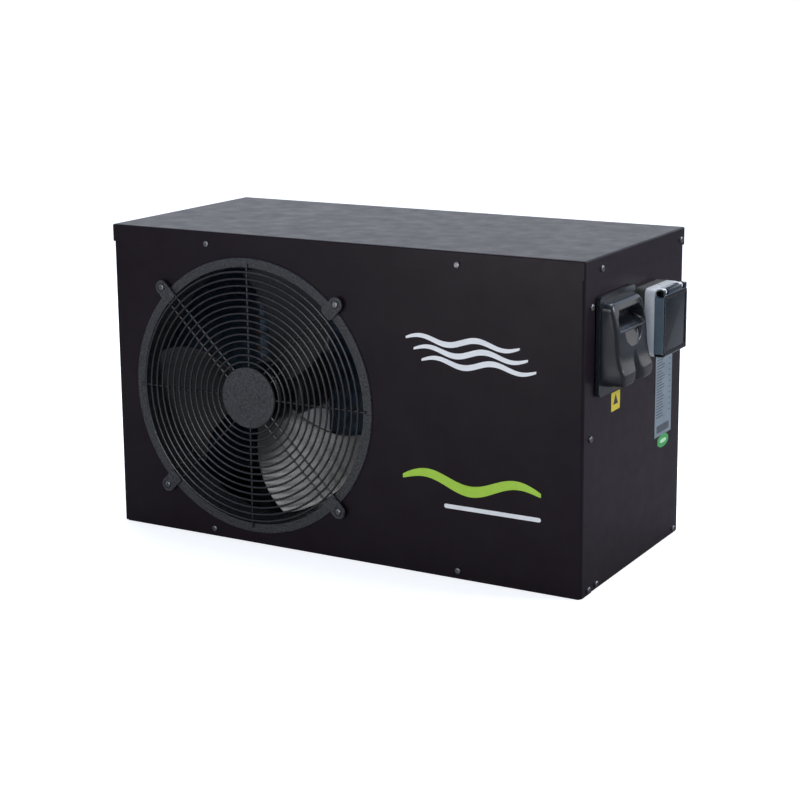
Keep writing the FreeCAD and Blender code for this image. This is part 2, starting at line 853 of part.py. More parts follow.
def compressor_bolts():
    bolts = []
    for x, y in compressor_foot_places():
        stem = rod((x, y, sheet), (0, 0, 1), foot_bolt_radius, compressor_low - sheet + 8.0)
        head = rod((x, y, compressor_low), (0, 0, 1), foot_bolt_head, 5.0)
        bolts.append(fused([stem, head]))
    return Part.makeCompound(bolts)


def accumulator():
    low = (accumulator_x, accumulator_y, accumulator_low)
    can = rod(low, (0, 0, 1), accumulator_radius, accumulator_top - accumulator_low)
    can = can.makeFillet(10.0, [e for e in can.Edges if e.Length > 5 * accumulator_radius])
    neck = rod((accumulator_x, accumulator_y, accumulator_top - 1), (0, 0, 1), copper_radius + 1.0, 11.0)
    start_x = compressor_x - compressor_radius - 8.0
    outlet = pipe((
        (start_x, compressor_y, 46.0),
        (start_x - 14.0, compressor_y, 46.0),
        (start_x - 14.0, accumulator_y, 46.0),
        (accumulator_x, accumulator_y, 46.0),
        (accumulator_x, accumulator_y, accumulator_low + 2.0),
    ), copper_radius + 0.5, 7.0)
    return fused([can, neck, outlet])


def valve_port(shift, low):
    z = valve_z - valve_radius - port_length if low else valve_z
    return rod((compressor_x + shift, compressor_y, z), (0, 0, 1), port_radius, valve_radius + port_length)


def reversing_valve():
    start = (compressor_x - valve_length / 2, compressor_y, valve_z)
    barrel = rod(start, (1, 0, 0), valve_radius, valve_length)
    barrel = barrel.makeFillet(4.0, [e for e in barrel.Edges if e.Length > 5 * valve_radius])
    ports = [valve_port(shift, False) for shift in (-port_spacing, 0, port_spacing)]
    return fused([barrel, valve_port(0, True)] + ports)


def valve_solenoid():
    y0 = compressor_y + valve_radius
    x0 = compressor_x - 16.0
    coil = box(x0, x0 + 32.0, y0, y0 + 26.0, valve_z - 14.0, valve_z + 14.0)
    return round_edges(coil, (0, 1, 0), 3.0)


port_top = valve_z + valve_radius + port_length
port_low = valve_z - valve_radius - port_length
compressor_outlet = compressor_top + 12.0


def discharge_pipe():
    rise = pipe((
        (compressor_x, compressor_y, compressor_outlet),
        (compressor_x, compressor_y, port_low),
    ), copper_radius, 8.0)
    over = pipe((
        (compressor_x + port_spacing, compressor_y, port_top),
        (compressor_x + port_spacing, compressor_y, port_top + 24.0),
        (condenser_x - 20.0, compressor_y, port_top + 24.0),
        (condenser_x - 20.0, condenser_y, port_top + 24.0),
        (condenser_x - 20.0, condenser_y, condenser_top + 10.0),
    ), copper_radius, 12.0)
    return Part.makeCompound([rise, over])


def suction_pipe():
    high = port_top + 32.0
    return pipe((
        (compressor_x, compressor_y, port_top),
        (compressor_x, compressor_y, high),
        (compressor_x, accumulator_y, high),
        (accumulator_x, accumulator_y, high),
        (accumulator_x, accumulator_y, accumulator_top + 10.0),
    ), copper_radius, 12.0)


def evaporator_pipe():
    x = compressor_x - port_spacing
    high = first_tube + (tube_rows - 1) * tube_pitch
    return pipe((
        (x, compressor_y, port_top),
        (x, compressor_y, high),
        (x, coil_y, high),
        (stub_end, coil_y, high),
    ), tube_radius, 12.0)


drier_z = 50.0
drier_left = partition_x + 80.0
drier_right = drier_left + 60.0


def liquid_pipe():
    start_x = condenser_x - condenser_radius - 8.0
    inlet = pipe((
        (start_x, condenser_y, drier_z),
        (start_x - 13.0, condenser_y, drier_z),
        (start_x - 13.0, coil_y, drier_z),
        (drier_right, coil_y, drier_z),
    ), liquid_radius, 6.0)
    outlet = pipe((
        (drier_left, coil_y, drier_z),
        (drier_left - 25.0, coil_y, drier_z),
        (drier_left - 45.0, coil_y, first_tube),
        (stub_end, coil_y, first_tube),
    ), liquid_radius, 12.0)
    return Part.makeCompound([inlet, outlet])


def filter_drier():
    shell = rod((drier_left, coil_y, drier_z), (1, 0, 0), 11.0, drier_right - drier_left)
    return shell.makeFillet(5.0, [e for e in shell.Edges if e.Length > 60.0])


def condenser_shell():
    centre = (condenser_x, condenser_y, condenser_low)
    tall = condenser_top - condenser_low
    outer = rod(centre, (0, 0, 1), condenser_radius, tall)
    outer = outer.makeFillet(6.0, [e for e in outer.Edges if e.Length > 5 * condenser_radius])
    stand = rod((condenser_x, condenser_y, sheet), (0, 0, 1), condenser_radius - 12.0, condenser_low)
    gas = rod((condenser_x - 20.0, condenser_y, condenser_top - 2.0), (0, 0, 1), copper_radius + 1.0, 12.0)
    liquid = rod((condenser_x, condenser_y, drier_z), (-1, 0, 0), copper_radius, condenser_radius + 8.0)
    seat = rod((condenser_x, half_depth - 22.0, water_high), (0, 0, 1), 11.0, pipe_outer + 6.0)
    inner = rod(
        (condenser_x, condenser_y, condenser_low + condenser_wall), (0, 0, 1),
        condenser_radius - condenser_wall, tall - 2 * condenser_wall
    )
    pipes = []
    bores = []
    for z in (water_low, water_high):
        start = (condenser_x, condenser_y, z)
        pipes.append(rod(start, (0, 1, 0), pipe_outer, thread_end - condenser_y))
        collar = (condenser_x, thread_start, z)
        pipes.append(rod(collar, (0, 1, 0), thread_radius, thread_end - thread_start))
        bores.append(rod(start, (0, 1, 0), pipe_inner, thread_end - condenser_y))
    return fused([outer, stand, gas, liquid, seat] + pipes).cut([inner] + bores)


def titanium_coil():
    # The winding stands on the shell's floor; its solid is the sleeve that the turns fill.
    start = (condenser_x, condenser_y, condenser_low + condenser_wall)
    outer = condenser_radius - condenser_wall - 8.0
    tall = condenser_top - condenser_low - 2 * condenser_wall - 25.0
    return tube(start, (0, 0, 1), outer, outer - 12.0, tall)


def flow_switch():
    y = half_depth - 22.0
    low = water_high + pipe_outer + 6.0
    body = box(condenser_x - 13.0, condenser_x + 13.0, y - 12.0, y + 12.0, low, low + 34.0)
    return round_edges(body, (0, 0, 1), 4.0)


def union_tail(z):
    start = (condenser_x, thread_end, z)
    flange = rod(start, (0, 1, 0), thread_radius, lip_thickness)
    barrel = rod(start, (0, 1, 0), socket_outer, socket_end - thread_end)
    bore = rod(start, (0, 1, 0), pipe_inner, lip_thickness)
    socket_start = (condenser_x, thread_end + lip_thickness, z)
    socket = rod(socket_start, (0, 1, 0), socket_radius, socket_end - thread_end)
    return fused([flange, barrel]).cut([bore, socket])


def union_nut(z):
    start_y = thread_start - 4.0
    lip_y = thread_end + lip_thickness
    end_y = lip_y + 8.0
    outer = rod((condenser_x, start_y, z), (0, 1, 0), nut_outer, end_y - start_y)
    outer = outer.makeFillet(2.0, [e for e in outer.Edges if e.Length > 5 * nut_outer])
    grip = box(
        condenser_x + nut_outer - 3.0, condenser_x + nut_outer + 3.0, start_y, end_y - 4.0, z - 3.5, z + 3.5
    )
    ribs = [turned(grip, condenser_x, z, 360.0 / nut_rib_count * i) for i in range(nut_rib_count)]
    inside = rod((condenser_x, start_y, z), (0, 1, 0), thread_radius + nut_clearance, lip_y - start_y)
    mouth = rod((condenser_x, start_y, z), (0, 1, 0), socket_outer + nut_clearance, end_y - start_y)
    return fused([outer] + ribs).cut([inside, mouth])


def cable_gland():
    rear = base_half_y - 10.0
    thread = rod((gland_x, rear, gland_z), (0, 1, 0), gland_thread, half_depth - rear)
    flange = rod((gland_x, half_depth, gland_z), (0, 1, 0), gland_thread + 4.0, 6.0)
    cap = rod((gland_x, half_depth, gland_z), (0, 1, 0), gland_thread + 2.5, gland_length)
    cap = cap.makeFillet(3.0, [e for e in cap.Edges if e.CenterOfMass.y > half_depth + gland_length - 1])
    bore = rod((gland_x, rear, gland_z), (0, 1, 0), gland_bore, half_depth - rear + gland_length)
    return fused([thread, flange, cap]).cut(bore)


def electrical_box():
    left = partition_x + sheet
    outer = box(left, ebox_right, -ebox_front, -ebox_rear, ebox_low, ebox_top)
    inner = box(
        left + sheet, ebox_right - sheet, -ebox_front + sheet, -ebox_rear - sheet, ebox_low + sheet, ebox_top
    )
    pads = []
    for x in (left + 20.0, left + 150.0):
        for y in (-ebox_front + 16.0, -ebox_rear - 16.0):
            pads.append(rod((x, y, ebox_low), (0, 0, 1), 4.0, 8.0))
    return fused([outer.cut(inner)] + pads)


def circuit_board():
    left = partition_x + sheet
    low = ebox_low + 8.0
    board = box(left + 10.0, left + 160.0, -ebox_front + 8.0, -ebox_rear - 8.0, low, low + 1.6)
    front = -ebox_front
    relay = box(left + 30.0, left + 50.0, front + 20.0, front + 35.0, low, low + 17.0)
    transformer = box(left + 70.0, left + 105.0, front + 30.0, front + 60.0, low, low + 26.0)
    return fused([board, relay, transformer])


def terminal_block():
    left = partition_x + sheet + 175.0
    low = ebox_low + sheet
    block = box(left, left + 70.0, -ebox_front + 6.0, -ebox_front + 28.0, low, low + 20.0)
    slots = [box(left + 5 + 13 * i, left + 13 + 13 * i, -ebox_front, -ebox_front + 14.0, low + 8, low + 20)
             for i in range(5)]
    return block.cut(slots)


def run_capacitor():
    x = partition_x + sheet + 190.0
    can = rod((x, -ebox_rear - 26.0, ebox_low + sheet), (0, 0, 1), 20.0, 80.0)
    return can.makeFillet(2.0, [e for e in can.Edges if e.Length > 100.0])


def contactor():
    x = partition_x + sheet + 222.0
    low = ebox_low + sheet
    body = box(x, x + 45.0, -ebox_rear - 56.0, -ebox_rear - 6.0, low, low + 55.0)
    step = box(x, x + 45.0, -ebox_rear - 56.0, -ebox_rear - 44.0, low + 38.0, low + 55.0)
    return body.cut(step)


def bulge_profile(inset):
    # Side view: how far the moulding stands out at each height.
    x = side_face
    out = x - inset
    top = bulge_top - inset
    low = bulge_low + inset
    outline = [
        vec(x, 0, low),
        vec(out + bulge_out_foot - 1.0, 0, low),
        vec(out + bulge_out_foot, 0, low + bulge_foot_lip),
        vec(out + bulge_out_waist, 0, bulge_waist_z),
        vec(out + bulge_out_brow, 0, bulge_brow_z),
        vec(out + bulge_out_top, 0, top),
        vec(x, 0, top),
    ]
    instep = vec(out + (bulge_out_waist + bulge_out_foot) / 2 - 1.0, 0, bulge_waist_z - 10.0)
    brow = vec(out + (bulge_out_top + bulge_out_brow) / 2 + 2.0, 0, bulge_brow_z + 23.0)
    lower = Part.Arc(outline[2], instep, outline[3]).toShape()
    upper = Part.Arc(outline[4], brow, outline[5]).toShape()
    edges = [
        Part.LineSegment(outline[0], outline[1]).toShape(),
        Part.LineSegment(outline[1], outline[2]).toShape(),
    ]
    edges.append(lower)
    edges.append(Part.LineSegment(outline[3], outline[4]).toShape())
    edges.append(upper)
    edges.append(Part.LineSegment(outline[5], outline[6]).toShape())
    edges.append(Part.LineSegment(outline[6], outline[0]).toShape())
    return Part.Face(Part.Wire(edges))


def bulge_block(inset):
    face = bulge_profile(inset)
    y0 = from_front(bulge_front + inset)
    y1 = from_front(bulge_rear - inset)
    face.translate(vec(0, y0, 0))
    block = face.extrude(vec(0, y1 - y0, 0))
    beyond = side_face + 1.5 * bulge_out_foot
    middle_z = (bulge_low + bulge_top) / 2
    corners = box(side_face, beyond, y0, y1, bulge_low + inset, bulge_top - inset)
    corners = round_edges(corners, (1, 0, 0), bulge_corner - inset, lambda p: p.z > middle_z)
    return block.common(corners)


def leg_groove(inset):
    # The valley between the two flared legs, widest at the bottom.
    middle = from_front((bulge_front + bulge_rear) / 2)
    spread = leg_spread - inset
    floor_x = side_face + bulge_out_foot - leg_depth
    mouth_x = side_face + 1.5 * bulge_out_foot
    low = bulge_low - 1.0
    corners = [
        vec(floor_x, middle - spread, low),
        vec(mouth_x, middle - spread - leg_flare, low),
        vec(mouth_x, middle + spread + leg_flare, low),
        vec(floor_x, middle + spread, low),
    ]
    rise = side_face + bulge_out_waist - 1.0 - floor_x
    tops = [vec(p.x + rise, middle + (p.y - middle) * 0.2, leg_top) for p in corners]
    foot = Part.makePolygon(corners + corners[:1])
    head = Part.makePolygon(tops + tops[:1])
    return Part.makeLoft([foot, head], True, True)


def grip_pocket(inset):
    # Finger grip: a deep hollow under the brow, then a slope and a shallow dish.
    y0 = from_front(grip_front - inset)
    y1 = from_front(grip_rear + inset)
    deep = side_face + grip_floor - inset
    mouth = side_face + 1.5 * bulge_out_foot
    sill = grip_ridge - grip_sill_drop - inset
    points = [
        vec(mouth, y0, grip_top + grip_brow_slope + inset),
        vec(deep, y0, grip_top - grip_brow_slope + inset),
        vec(deep, y0, grip_ridge - inset),
        vec(side_face + grip_sill - inset, y0, sill),
        vec(mouth, y0, sill),
        vec(mouth, y0, grip_top + grip_brow_slope + inset),
    ]
    hollow = Part.Face(Part.makePolygon(points)).extrude(vec(0, y1 - y0, 0))
    hollow = round_edges(hollow, (1, 0, 0), 8.0) if inset < 0 else hollow
    middle = (y0 + y1) / 2
    centre_z = grip_ridge - 6.0
    radius = centre_z - grip_low + inset
    dish = rod((side_face + grip_dish_out - inset, middle, centre_z), (1, 0, 0), radius, bulge_out_foot)
    return hollow.fuse(dish)


def service_cover():
    plate = box(
        side_face, side_face + cover_plate_thickness,
        from_front(cover_plate_front), from_front(cover_plate_rear), cover_plate_low, cover_plate_top
    )
    plate = round_edges(plate, (1, 0, 0), 8.0)
    outer = plate.fuse(bulge_block(0.0)).cut([leg_groove(0.0), grip_pocket(0.0)])
    inner = bulge_block(bulge_wall).cut([leg_groove(-bulge_wall), grip_pocket(bulge_wall)])
    below = box(
        side_face, side_face + 4.0, from_front(bulge_front + 17.0), from_front(bulge_rear - 18.0),
        cover_plate_low - 1, bulge_low + 5
    )
    return outer.cut([inner, below]).removeSplitter()


def controller_base():
    y0 = from_front(control_front) + 3.0
    y1 = from_front(control_front + control_width) - 3.0
    low = control_low + 2.0
    top = control_top
    block = box(side_face, side_face + control_base, y0, y1, low, top)
    block = round_edges(block, (1, 0, 0), 5.0)
    ribs = []
    for x in (3.5, 7.0, 10.5):
        loop = box(side_face + x - 0.6, side_face + x + 0.6, y0 - 1, y1 + 1, low - 1, top + 1)
        core = box(side_face + x - 0.6, side_face + x + 0.6, y0 + 1, y1 - 1, low + 1, top - 1)
        ribs.append(loop.cut(round_edges(core, (1, 0, 0), 4.0)))
    return block.cut(ribs)


def ear_spans():
    y0 = from_front(control_front)
    y1 = y0 + control_width
    return ((y0 + ear_start, y0 + ear_start + ear_width), (y1 - ear_start - ear_width, y1 - ear_start))


def controller_case():
    y0 = from_front(control_front)
    y1 = y0 + control_width
    back = side_face + control_base
    front = side_face + control_case
    shell = box(back, front, y0, y1, control_low, control_top)
    shell = round_edges(shell, (1, 0, 0), 7.0)
    pocket = box(back + case_wall, front, y0 + 8.0, y1 - 8.0, control_low + 8.0, control_top - 12.0)
    # A rebate along the top front edge, where the lid's upper edge swings back when it is open.
    rebate = box(front - lid_rebate, front, y0, y1, pin_z + lid_rebate_rise, control_top)
    parts = [shell.cut([round_edges(pocket, (1, 0, 0), 3.0), rebate])]
    for low, high in ear_spans():
        parts.append(rod((pin_x, low, pin_z), (0, 1, 0), ear_radius, high - low))
        parts.append(box(front - 1.0, pin_x, low, high, pin_z - 3.0, pin_z + ear_radius))
    body = fused(parts)
    pin_bore = rod((pin_x, y0, pin_z), (0, 1, 0), pin_radius + press_clearance, control_width)
    return body.cut(pin_bore)


def button_places():
    middle = from_front(control_front + control_width / 2)
    return [(middle + (i - 1.5) * button_spacing, button_z) for i in range(4)]


def controller_module():
    y0 = from_front(control_front) + 8.5
    y1 = from_front(control_front + control_width) - 8.5
    back = side_face + control_base + case_wall
    front = side_face + control_case - 1.0
    block = box(back, front, y0, y1, control_low + 8.5, control_top - 12.5)
    block = round_edges(block, (1, 0, 0), 2.5)
    middle = from_front(control_front + control_width / 2)
    window = box(
        front - 1.5, front, middle - window_width / 2, middle + window_width / 2,
        window_z - window_height / 2, window_z + window_height / 2
    )
    well_radius = button_radius + button_clearance
    wells = [rod((front - 6.0, y, z), (1, 0, 0), well_radius, 6.0) for y, z in button_places()]
    return block.cut([window] + wells)


def display_window():
    front = side_face + control_case - 1.0
    middle = from_front(control_front + control_width / 2)
    pane = box(
        front - 1.5, front, middle - window_width / 2 + 0.1, middle + window_width / 2 - 0.1,
        window_z - window_height / 2 + 0.1, window_z + window_height / 2 - 0.1
    )
    return pane


def button(index):
    y, z = button_places()[index]
    front = side_face + control_case - 1.0
    cap = rod((front - 4.0, y, z), (1, 0, 0), button_radius, 4.0 + button_proud)
    return cap.makeFillet(0.8, [e for e in cap.Edges if e.CenterOfMass.x > front + button_proud - 0.1])


def controller_lid():
    y0 = from_front(control_front)
    y1 = y0 + control_width
    back = side_face + control_case + lid_gap
    front = side_face + control_lid
    top = pin_z + barrel_radius + 0.4
    shell = box(back, front, y0, y1, control_low + 1.0, top)
    shell = round_edges(shell, (1, 0, 0), 6.0, lambda p: p.z < pin_z - 10)
    shell = shell.makeFillet(2.5, [e for e in shell.Edges if abs(e.CenterOfMass.x - front) < 1e-6])
    floor = control_low + 1.0 + lid_wall
    inner = box(back - 1.0, front - lid_wall, y0 + lid_wall, y1 - lid_wall, floor, top - lid_wall)
    inner = round_edges(inner, (1, 0, 0), 4.0, lambda p: p.z < pin_z - 10)
    heel = box(back - 1, pin_x, y0 - 1, y1 + 1, pin_z, top + 1)
    heel = heel.cut(rod((pin_x, y0 - 2, pin_z), (0, 1, 0), barrel_radius + 0.4, control_width + 4))
    low_heel = box(back - 1, pin_x - barrel_radius, y0 - 1, y1 + 1, pin_z - 8.0, pin_z + 1)
    spans = ear_spans()
    middle_low = spans[0][1] + ear_gap
    middle_high = spans[1][0] - ear_gap
    barrel_parts = [rod((pin_x, middle_low, pin_z), (0, 1, 0), barrel_radius, middle_high - middle_low)]
    barrel_parts.append(box(pin_x, front - 1.0, middle_low, middle_high, pin_z, pin_z + barrel_radius))
    for low, high in ((y0, spans[0][0] - ear_gap), (spans[1][1] + ear_gap, y1)):
        barrel_parts.append(rod((pin_x, low, pin_z), (0, 1, 0), barrel_radius, high - low))
        barrel_parts.append(box(pin_x, front - 2.6, low, high, pin_z, pin_z + barrel_radius))
    notches = []
    for low, high in spans:
        notch = box(back - 1, pin_x + ear_radius + 0.7, low - ear_gap, high + ear_gap, pin_z - 8.0, top + 1)
        mouth = box(pin_x, front + 1, low - ear_gap, high + ear_gap, pin_z - ear_notch_drop, top + 1)
        notches.append(notch.fuse(mouth))
    body = shell.cut([inner, heel, low_heel])
    body = fused([body] + barrel_parts).cut(notches)
    return body.cut(rod((pin_x, y0 - 1, pin_z), (0, 1, 0), pin_radius + running_clearance, control_width + 2))


def lid_hinge_pin():
    y0 = from_front(control_front) + 1.0
    return rod((pin_x, y0, pin_z), (0, 1, 0), pin_radius, control_width - 2.0)


def rating_plate():
    y0 = from_front(plate_front)
    return box(side_face, side_face + 0.4, y0, y0 + plate_width, plate_low, plate_top)


def side_labels():
    y0 = from_front(warning_front)
    top = warning_low + warning_height
    warning = box(side_face, side_face + label_thickness, y0, y0 + warning_width, warning_low, top)
    centre = (side_face, from_front(sticker_from_front), sticker_z)
    sticker = rod(centre, (1, 0, 0), sticker_radius, label_thickness)
    return Part.makeCompound([warning, sticker])


def write_all():
    makers = [
        base_pan, drain_bush, front_panel, right_side_panel, rear_panel, top_cover, partition_plate,
        rear_left_post, rear_coil_guard, left_coil_guard, evaporator_fins, evaporator_tubes,
        evaporator_end_plates, fan_shroud, grille_rings, grille_spokes, grille_hub, grille_lugs,
        fan_impeller, motor_shaft, fan_nut, fan_motor, motor_bracket, compressor, compressor_grommets,
        compressor_bolts, accumulator, reversing_valve, valve_solenoid, discharge_pipe, suction_pipe,
        evaporator_pipe, liquid_pipe, filter_drier, condenser_shell, titanium_coil, flow_switch,
        cable_gland, electrical_box, circuit_board, terminal_block, run_capacitor, contactor,
        service_cover, controller_base, controller_case, controller_module, display_window,
        controller_lid, lid_hinge_pin, rating_plate, side_labels,
    ]
    nodes = {maker.__name__: maker() for maker in makers}
    nodes["union_tails"] = Part.makeCompound([union_tail(water_low), union_tail(water_high)])
    nodes["union_nuts"] = Part.makeCompound([union_nut(water_low), union_nut(water_high)])
    nodes["cabinet_screws"] = screws_at(cabinet_screw_places())
    nodes["grille_screws"] = screws_at(guard_screw_places())
    for index, name in enumerate(("button_power", "button_mode", "button_up", "button_down")):
        nodes[name] = button(index)
    os.makedirs("parts", exist_ok=True)
    for name, shape in nodes.items():
        shape.exportStep("parts/" + name + ".step")
        print(name, "solids", len(shape.Solids), "valid", shape.isValid(), "volume", round(shape.Volume))


write_all()
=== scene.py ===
import json
import math

import bmesh
import bpy
from mathutils import Matrix, Vector


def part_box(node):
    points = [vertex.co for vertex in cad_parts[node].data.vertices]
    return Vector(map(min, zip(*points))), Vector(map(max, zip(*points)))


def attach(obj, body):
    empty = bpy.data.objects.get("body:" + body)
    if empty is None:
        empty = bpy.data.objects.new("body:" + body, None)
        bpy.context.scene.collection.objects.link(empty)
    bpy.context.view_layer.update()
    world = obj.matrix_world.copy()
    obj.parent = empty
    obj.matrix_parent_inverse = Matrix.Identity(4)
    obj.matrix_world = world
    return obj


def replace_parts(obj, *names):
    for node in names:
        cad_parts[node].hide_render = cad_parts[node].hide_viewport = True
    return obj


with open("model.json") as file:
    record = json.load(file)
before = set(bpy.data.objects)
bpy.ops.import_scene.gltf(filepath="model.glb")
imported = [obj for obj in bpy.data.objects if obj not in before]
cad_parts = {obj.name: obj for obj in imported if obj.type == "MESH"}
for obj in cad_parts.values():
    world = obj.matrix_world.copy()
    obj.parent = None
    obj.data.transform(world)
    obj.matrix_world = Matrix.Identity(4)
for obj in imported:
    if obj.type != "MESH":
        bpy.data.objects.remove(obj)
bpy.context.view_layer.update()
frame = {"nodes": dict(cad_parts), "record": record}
nodes = frame["nodes"]
print("frame loaded:", len(nodes), "nodes")

mm = 0.001


# node helpers for the finishes
def addNode(tree, kind, values=None, **settings):
    node = tree.nodes.new(kind)
    for name, value in settings.items():
        setattr(node, name, value)
    for name, value in (values or {}).items():
        node.inputs[name].default_value = value
    return node


def join(tree, outlet, inlet):
    tree.links.new(outlet, inlet)


def newGroup(name, inlets, outlet):
    tree = bpy.data.node_groups.new(name, "ShaderNodeTree")
    for label, value in inlets.items():
        socket = tree.interface.new_socket(label, in_out="INPUT", socket_type="NodeSocketFloat")
        socket.default_value = value
    tree.interface.new_socket(outlet, in_out="OUTPUT", socket_type="NodeSocketFloat")
    start = tree.nodes.new("NodeGroupInput")
    end = tree.nodes.new("NodeGroupOutput")
    return tree, start, end


def noiseOf(tree, start, scaleLabel, detail, rough):
    place = addNode(tree, "ShaderNodeTexCoord")
    noise = addNode(tree, "ShaderNodeTexNoise", {"Detail": detail, "Roughness": rough})
    join(tree, place.outputs["Object"], noise.inputs["Vector"])
    join(tree, start.outputs[scaleLabel], noise.inputs["Scale"])
    return noise.outputs["Fac"]


def mathNode(tree, operation, first, second=None, clamp=False):
    node = addNode(tree, "ShaderNodeMath", operation=operation, use_clamp=clamp)
    for index, value in enumerate((first, second)):
        if value is None:
            continue
        if isinstance(value, (int, float)):
            node.inputs[index].default_value = value
        else:
            join(tree, value, node.inputs[index])
    return node.outputs[0]


def makeMottle():
    # cloudy variation between Low and High, for colour and roughness
    tree, start, end = newGroup("cloudyVariation", {"Scale": 10.0, "Low": 0.0, "High": 1.0}, "Value")
    cloud = noiseOf(tree, start, "Scale", 5.0, 0.6)
    spread = addNode(tree, "ShaderNodeMapRange", {"From Min": 0.3, "From Max": 0.7})
    join(tree, cloud, spread.inputs["Value"])
    join(tree, start.outputs["Low"], spread.inputs["To Min"])
    join(tree, start.outputs["High"], spread.inputs["To Max"])
    join(tree, spread.outputs["Result"], end.inputs["Value"])
    return tree


def makeGrain():
    # height of a fine coating grain over slow waves, in metres
    inlets = {"Scale": 1500.0, "Depth": 0.00002, "Wave Scale": 6.0, "Wave Depth": 0.0}
    tree, start, end = newGroup("coatingGrain", inlets, "Height")
    fine = noiseOf(tree, start, "Scale", 2.0, 0.5)
    slow = noiseOf(tree, start, "Wave Scale", 1.0, 0.4)
    fineHeight = mathNode(tree, "MULTIPLY", fine, start.outputs["Depth"])
    slowHeight = mathNode(tree, "MULTIPLY", slow, start.outputs["Wave Depth"])
    join(tree, mathNode(tree, "ADD", fineHeight, slowHeight), end.inputs["Height"])
    return tree


def makeWrinkle():
    # rounded wrinkles of a crackle paint, in metres
    tree, start, end = newGroup("wrinkledPaint", {"Scale": 520.0, "Depth": 0.0002}, "Height")
    place = addNode(tree, "ShaderNodeTexCoord")
    cells = addNode(tree, "ShaderNodeTexVoronoi", feature="SMOOTH_F1")
    cells.inputs["Smoothness"].default_value = 0.7
    join(tree, place.outputs["Object"], cells.inputs["Vector"])
    join(tree, start.outputs["Scale"], cells.inputs["Scale"])
    fine = noiseOf(tree, start, "Scale", 3.0, 0.7)
    both = mathNode(tree, "ADD", cells.outputs["Distance"], mathNode(tree, "MULTIPLY", fine, 0.9))
    join(tree, mathNode(tree, "MULTIPLY", both, start.outputs["Depth"]), end.inputs["Height"])
    return tree


def makeEdgeWearAndHighlight():
    # bright where a corner is rubbed, plus a painted highlight along rounded edges, broken up by noise
    inlets = {"Width": 0.0008, "Amount": 0.5, "Breakup": 60.0}
    tree, start, end = newGroup("edgeWearAndHighlight", inlets, "Mask")
    bevel = addNode(tree, "ShaderNodeBevel", samples=4)
    surface = addNode(tree, "ShaderNodeNewGeometry")
    facing = addNode(tree, "ShaderNodeVectorMath", operation="DOT_PRODUCT")
    join(tree, start.outputs["Width"], bevel.inputs["Radius"])
    join(tree, bevel.outputs["Normal"], facing.inputs[0])
    join(tree, surface.outputs["Normal"], facing.inputs[1])
    turned = mathNode(tree, "SUBTRACT", 1.0, facing.outputs["Value"])
    edge = addNode(tree, "ShaderNodeMapRange", {"From Min": 0.01, "From Max": 0.12})
    join(tree, turned, edge.inputs["Value"])
    wornAndLit = noiseOf(tree, start, "Breakup", 4.0, 0.65)
    patchy = addNode(tree, "ShaderNodeMapRange", {"From Min": 0.38, "From Max": 0.62})
    join(tree, wornAndLit, patchy.inputs["Value"])
    mask = mathNode(tree, "MULTIPLY", edge.outputs["Result"], patchy.outputs["Result"])
    join(tree, mathNode(tree, "MULTIPLY", mask, start.outputs["Amount"], True), end.inputs["Mask"])
    return tree


def makeDust():
    # settles on faces that look up, and thinly everywhere
    tree, start, end = newGroup("settledDust", {"Amount": 0.2, "Scale": 40.0, "Film": 0.03}, "Mask")
    place = addNode(tree, "ShaderNodeTexCoord")
    parts = addNode(tree, "ShaderNodeSeparateXYZ")
    join(tree, place.outputs["Normal"], parts.inputs["Vector"])
    upward = addNode(tree, "ShaderNodeMapRange", {"From Min": 0.2, "From Max": 1.0})
    join(tree, parts.outputs["Z"], upward.inputs["Value"])
    specks = noiseOf(tree, start, "Scale", 8.0, 0.75)
    lifted = addNode(tree, "ShaderNodeMapRange", {"From Min": 0.35, "From Max": 0.75})
    join(tree, specks, lifted.inputs["Value"])
    onTop = mathNode(tree, "MULTIPLY", upward.outputs["Result"], start.outputs["Amount"])
    cover = mathNode(tree, "ADD", onTop, start.outputs["Film"])
    join(tree, mathNode(tree, "MULTIPLY", cover, lifted.outputs["Result"], True), end.inputs["Mask"])
    return tree


groups = {
    "mottle": makeMottle(),
    "grain": makeGrain(),
    "wrinkle": makeWrinkle(),
    "wearAndHighlight": makeEdgeWearAndHighlight(),
    "dust": makeDust(),
}


def placeGroup(tree, name, values):
    node = tree.nodes.new("ShaderNodeGroup")
    node.node_tree = groups[name]
    for label, value in values.items():
        node.inputs[label].default_value = value
    return node.outputs[0]


def mixColour(tree, mask, first, second):
    mix = addNode(tree, "ShaderNodeMix", data_type="RGBA")
    join(tree, mask, mix.inputs["Factor"])
    for value, socket in ((first, mix.inputs[6]), (second, mix.inputs[7])):
        if isinstance(value, tuple):
            socket.default_value = (*value, 1.0)
        else:
            join(tree, value, socket)
    return mix.outputs[2]


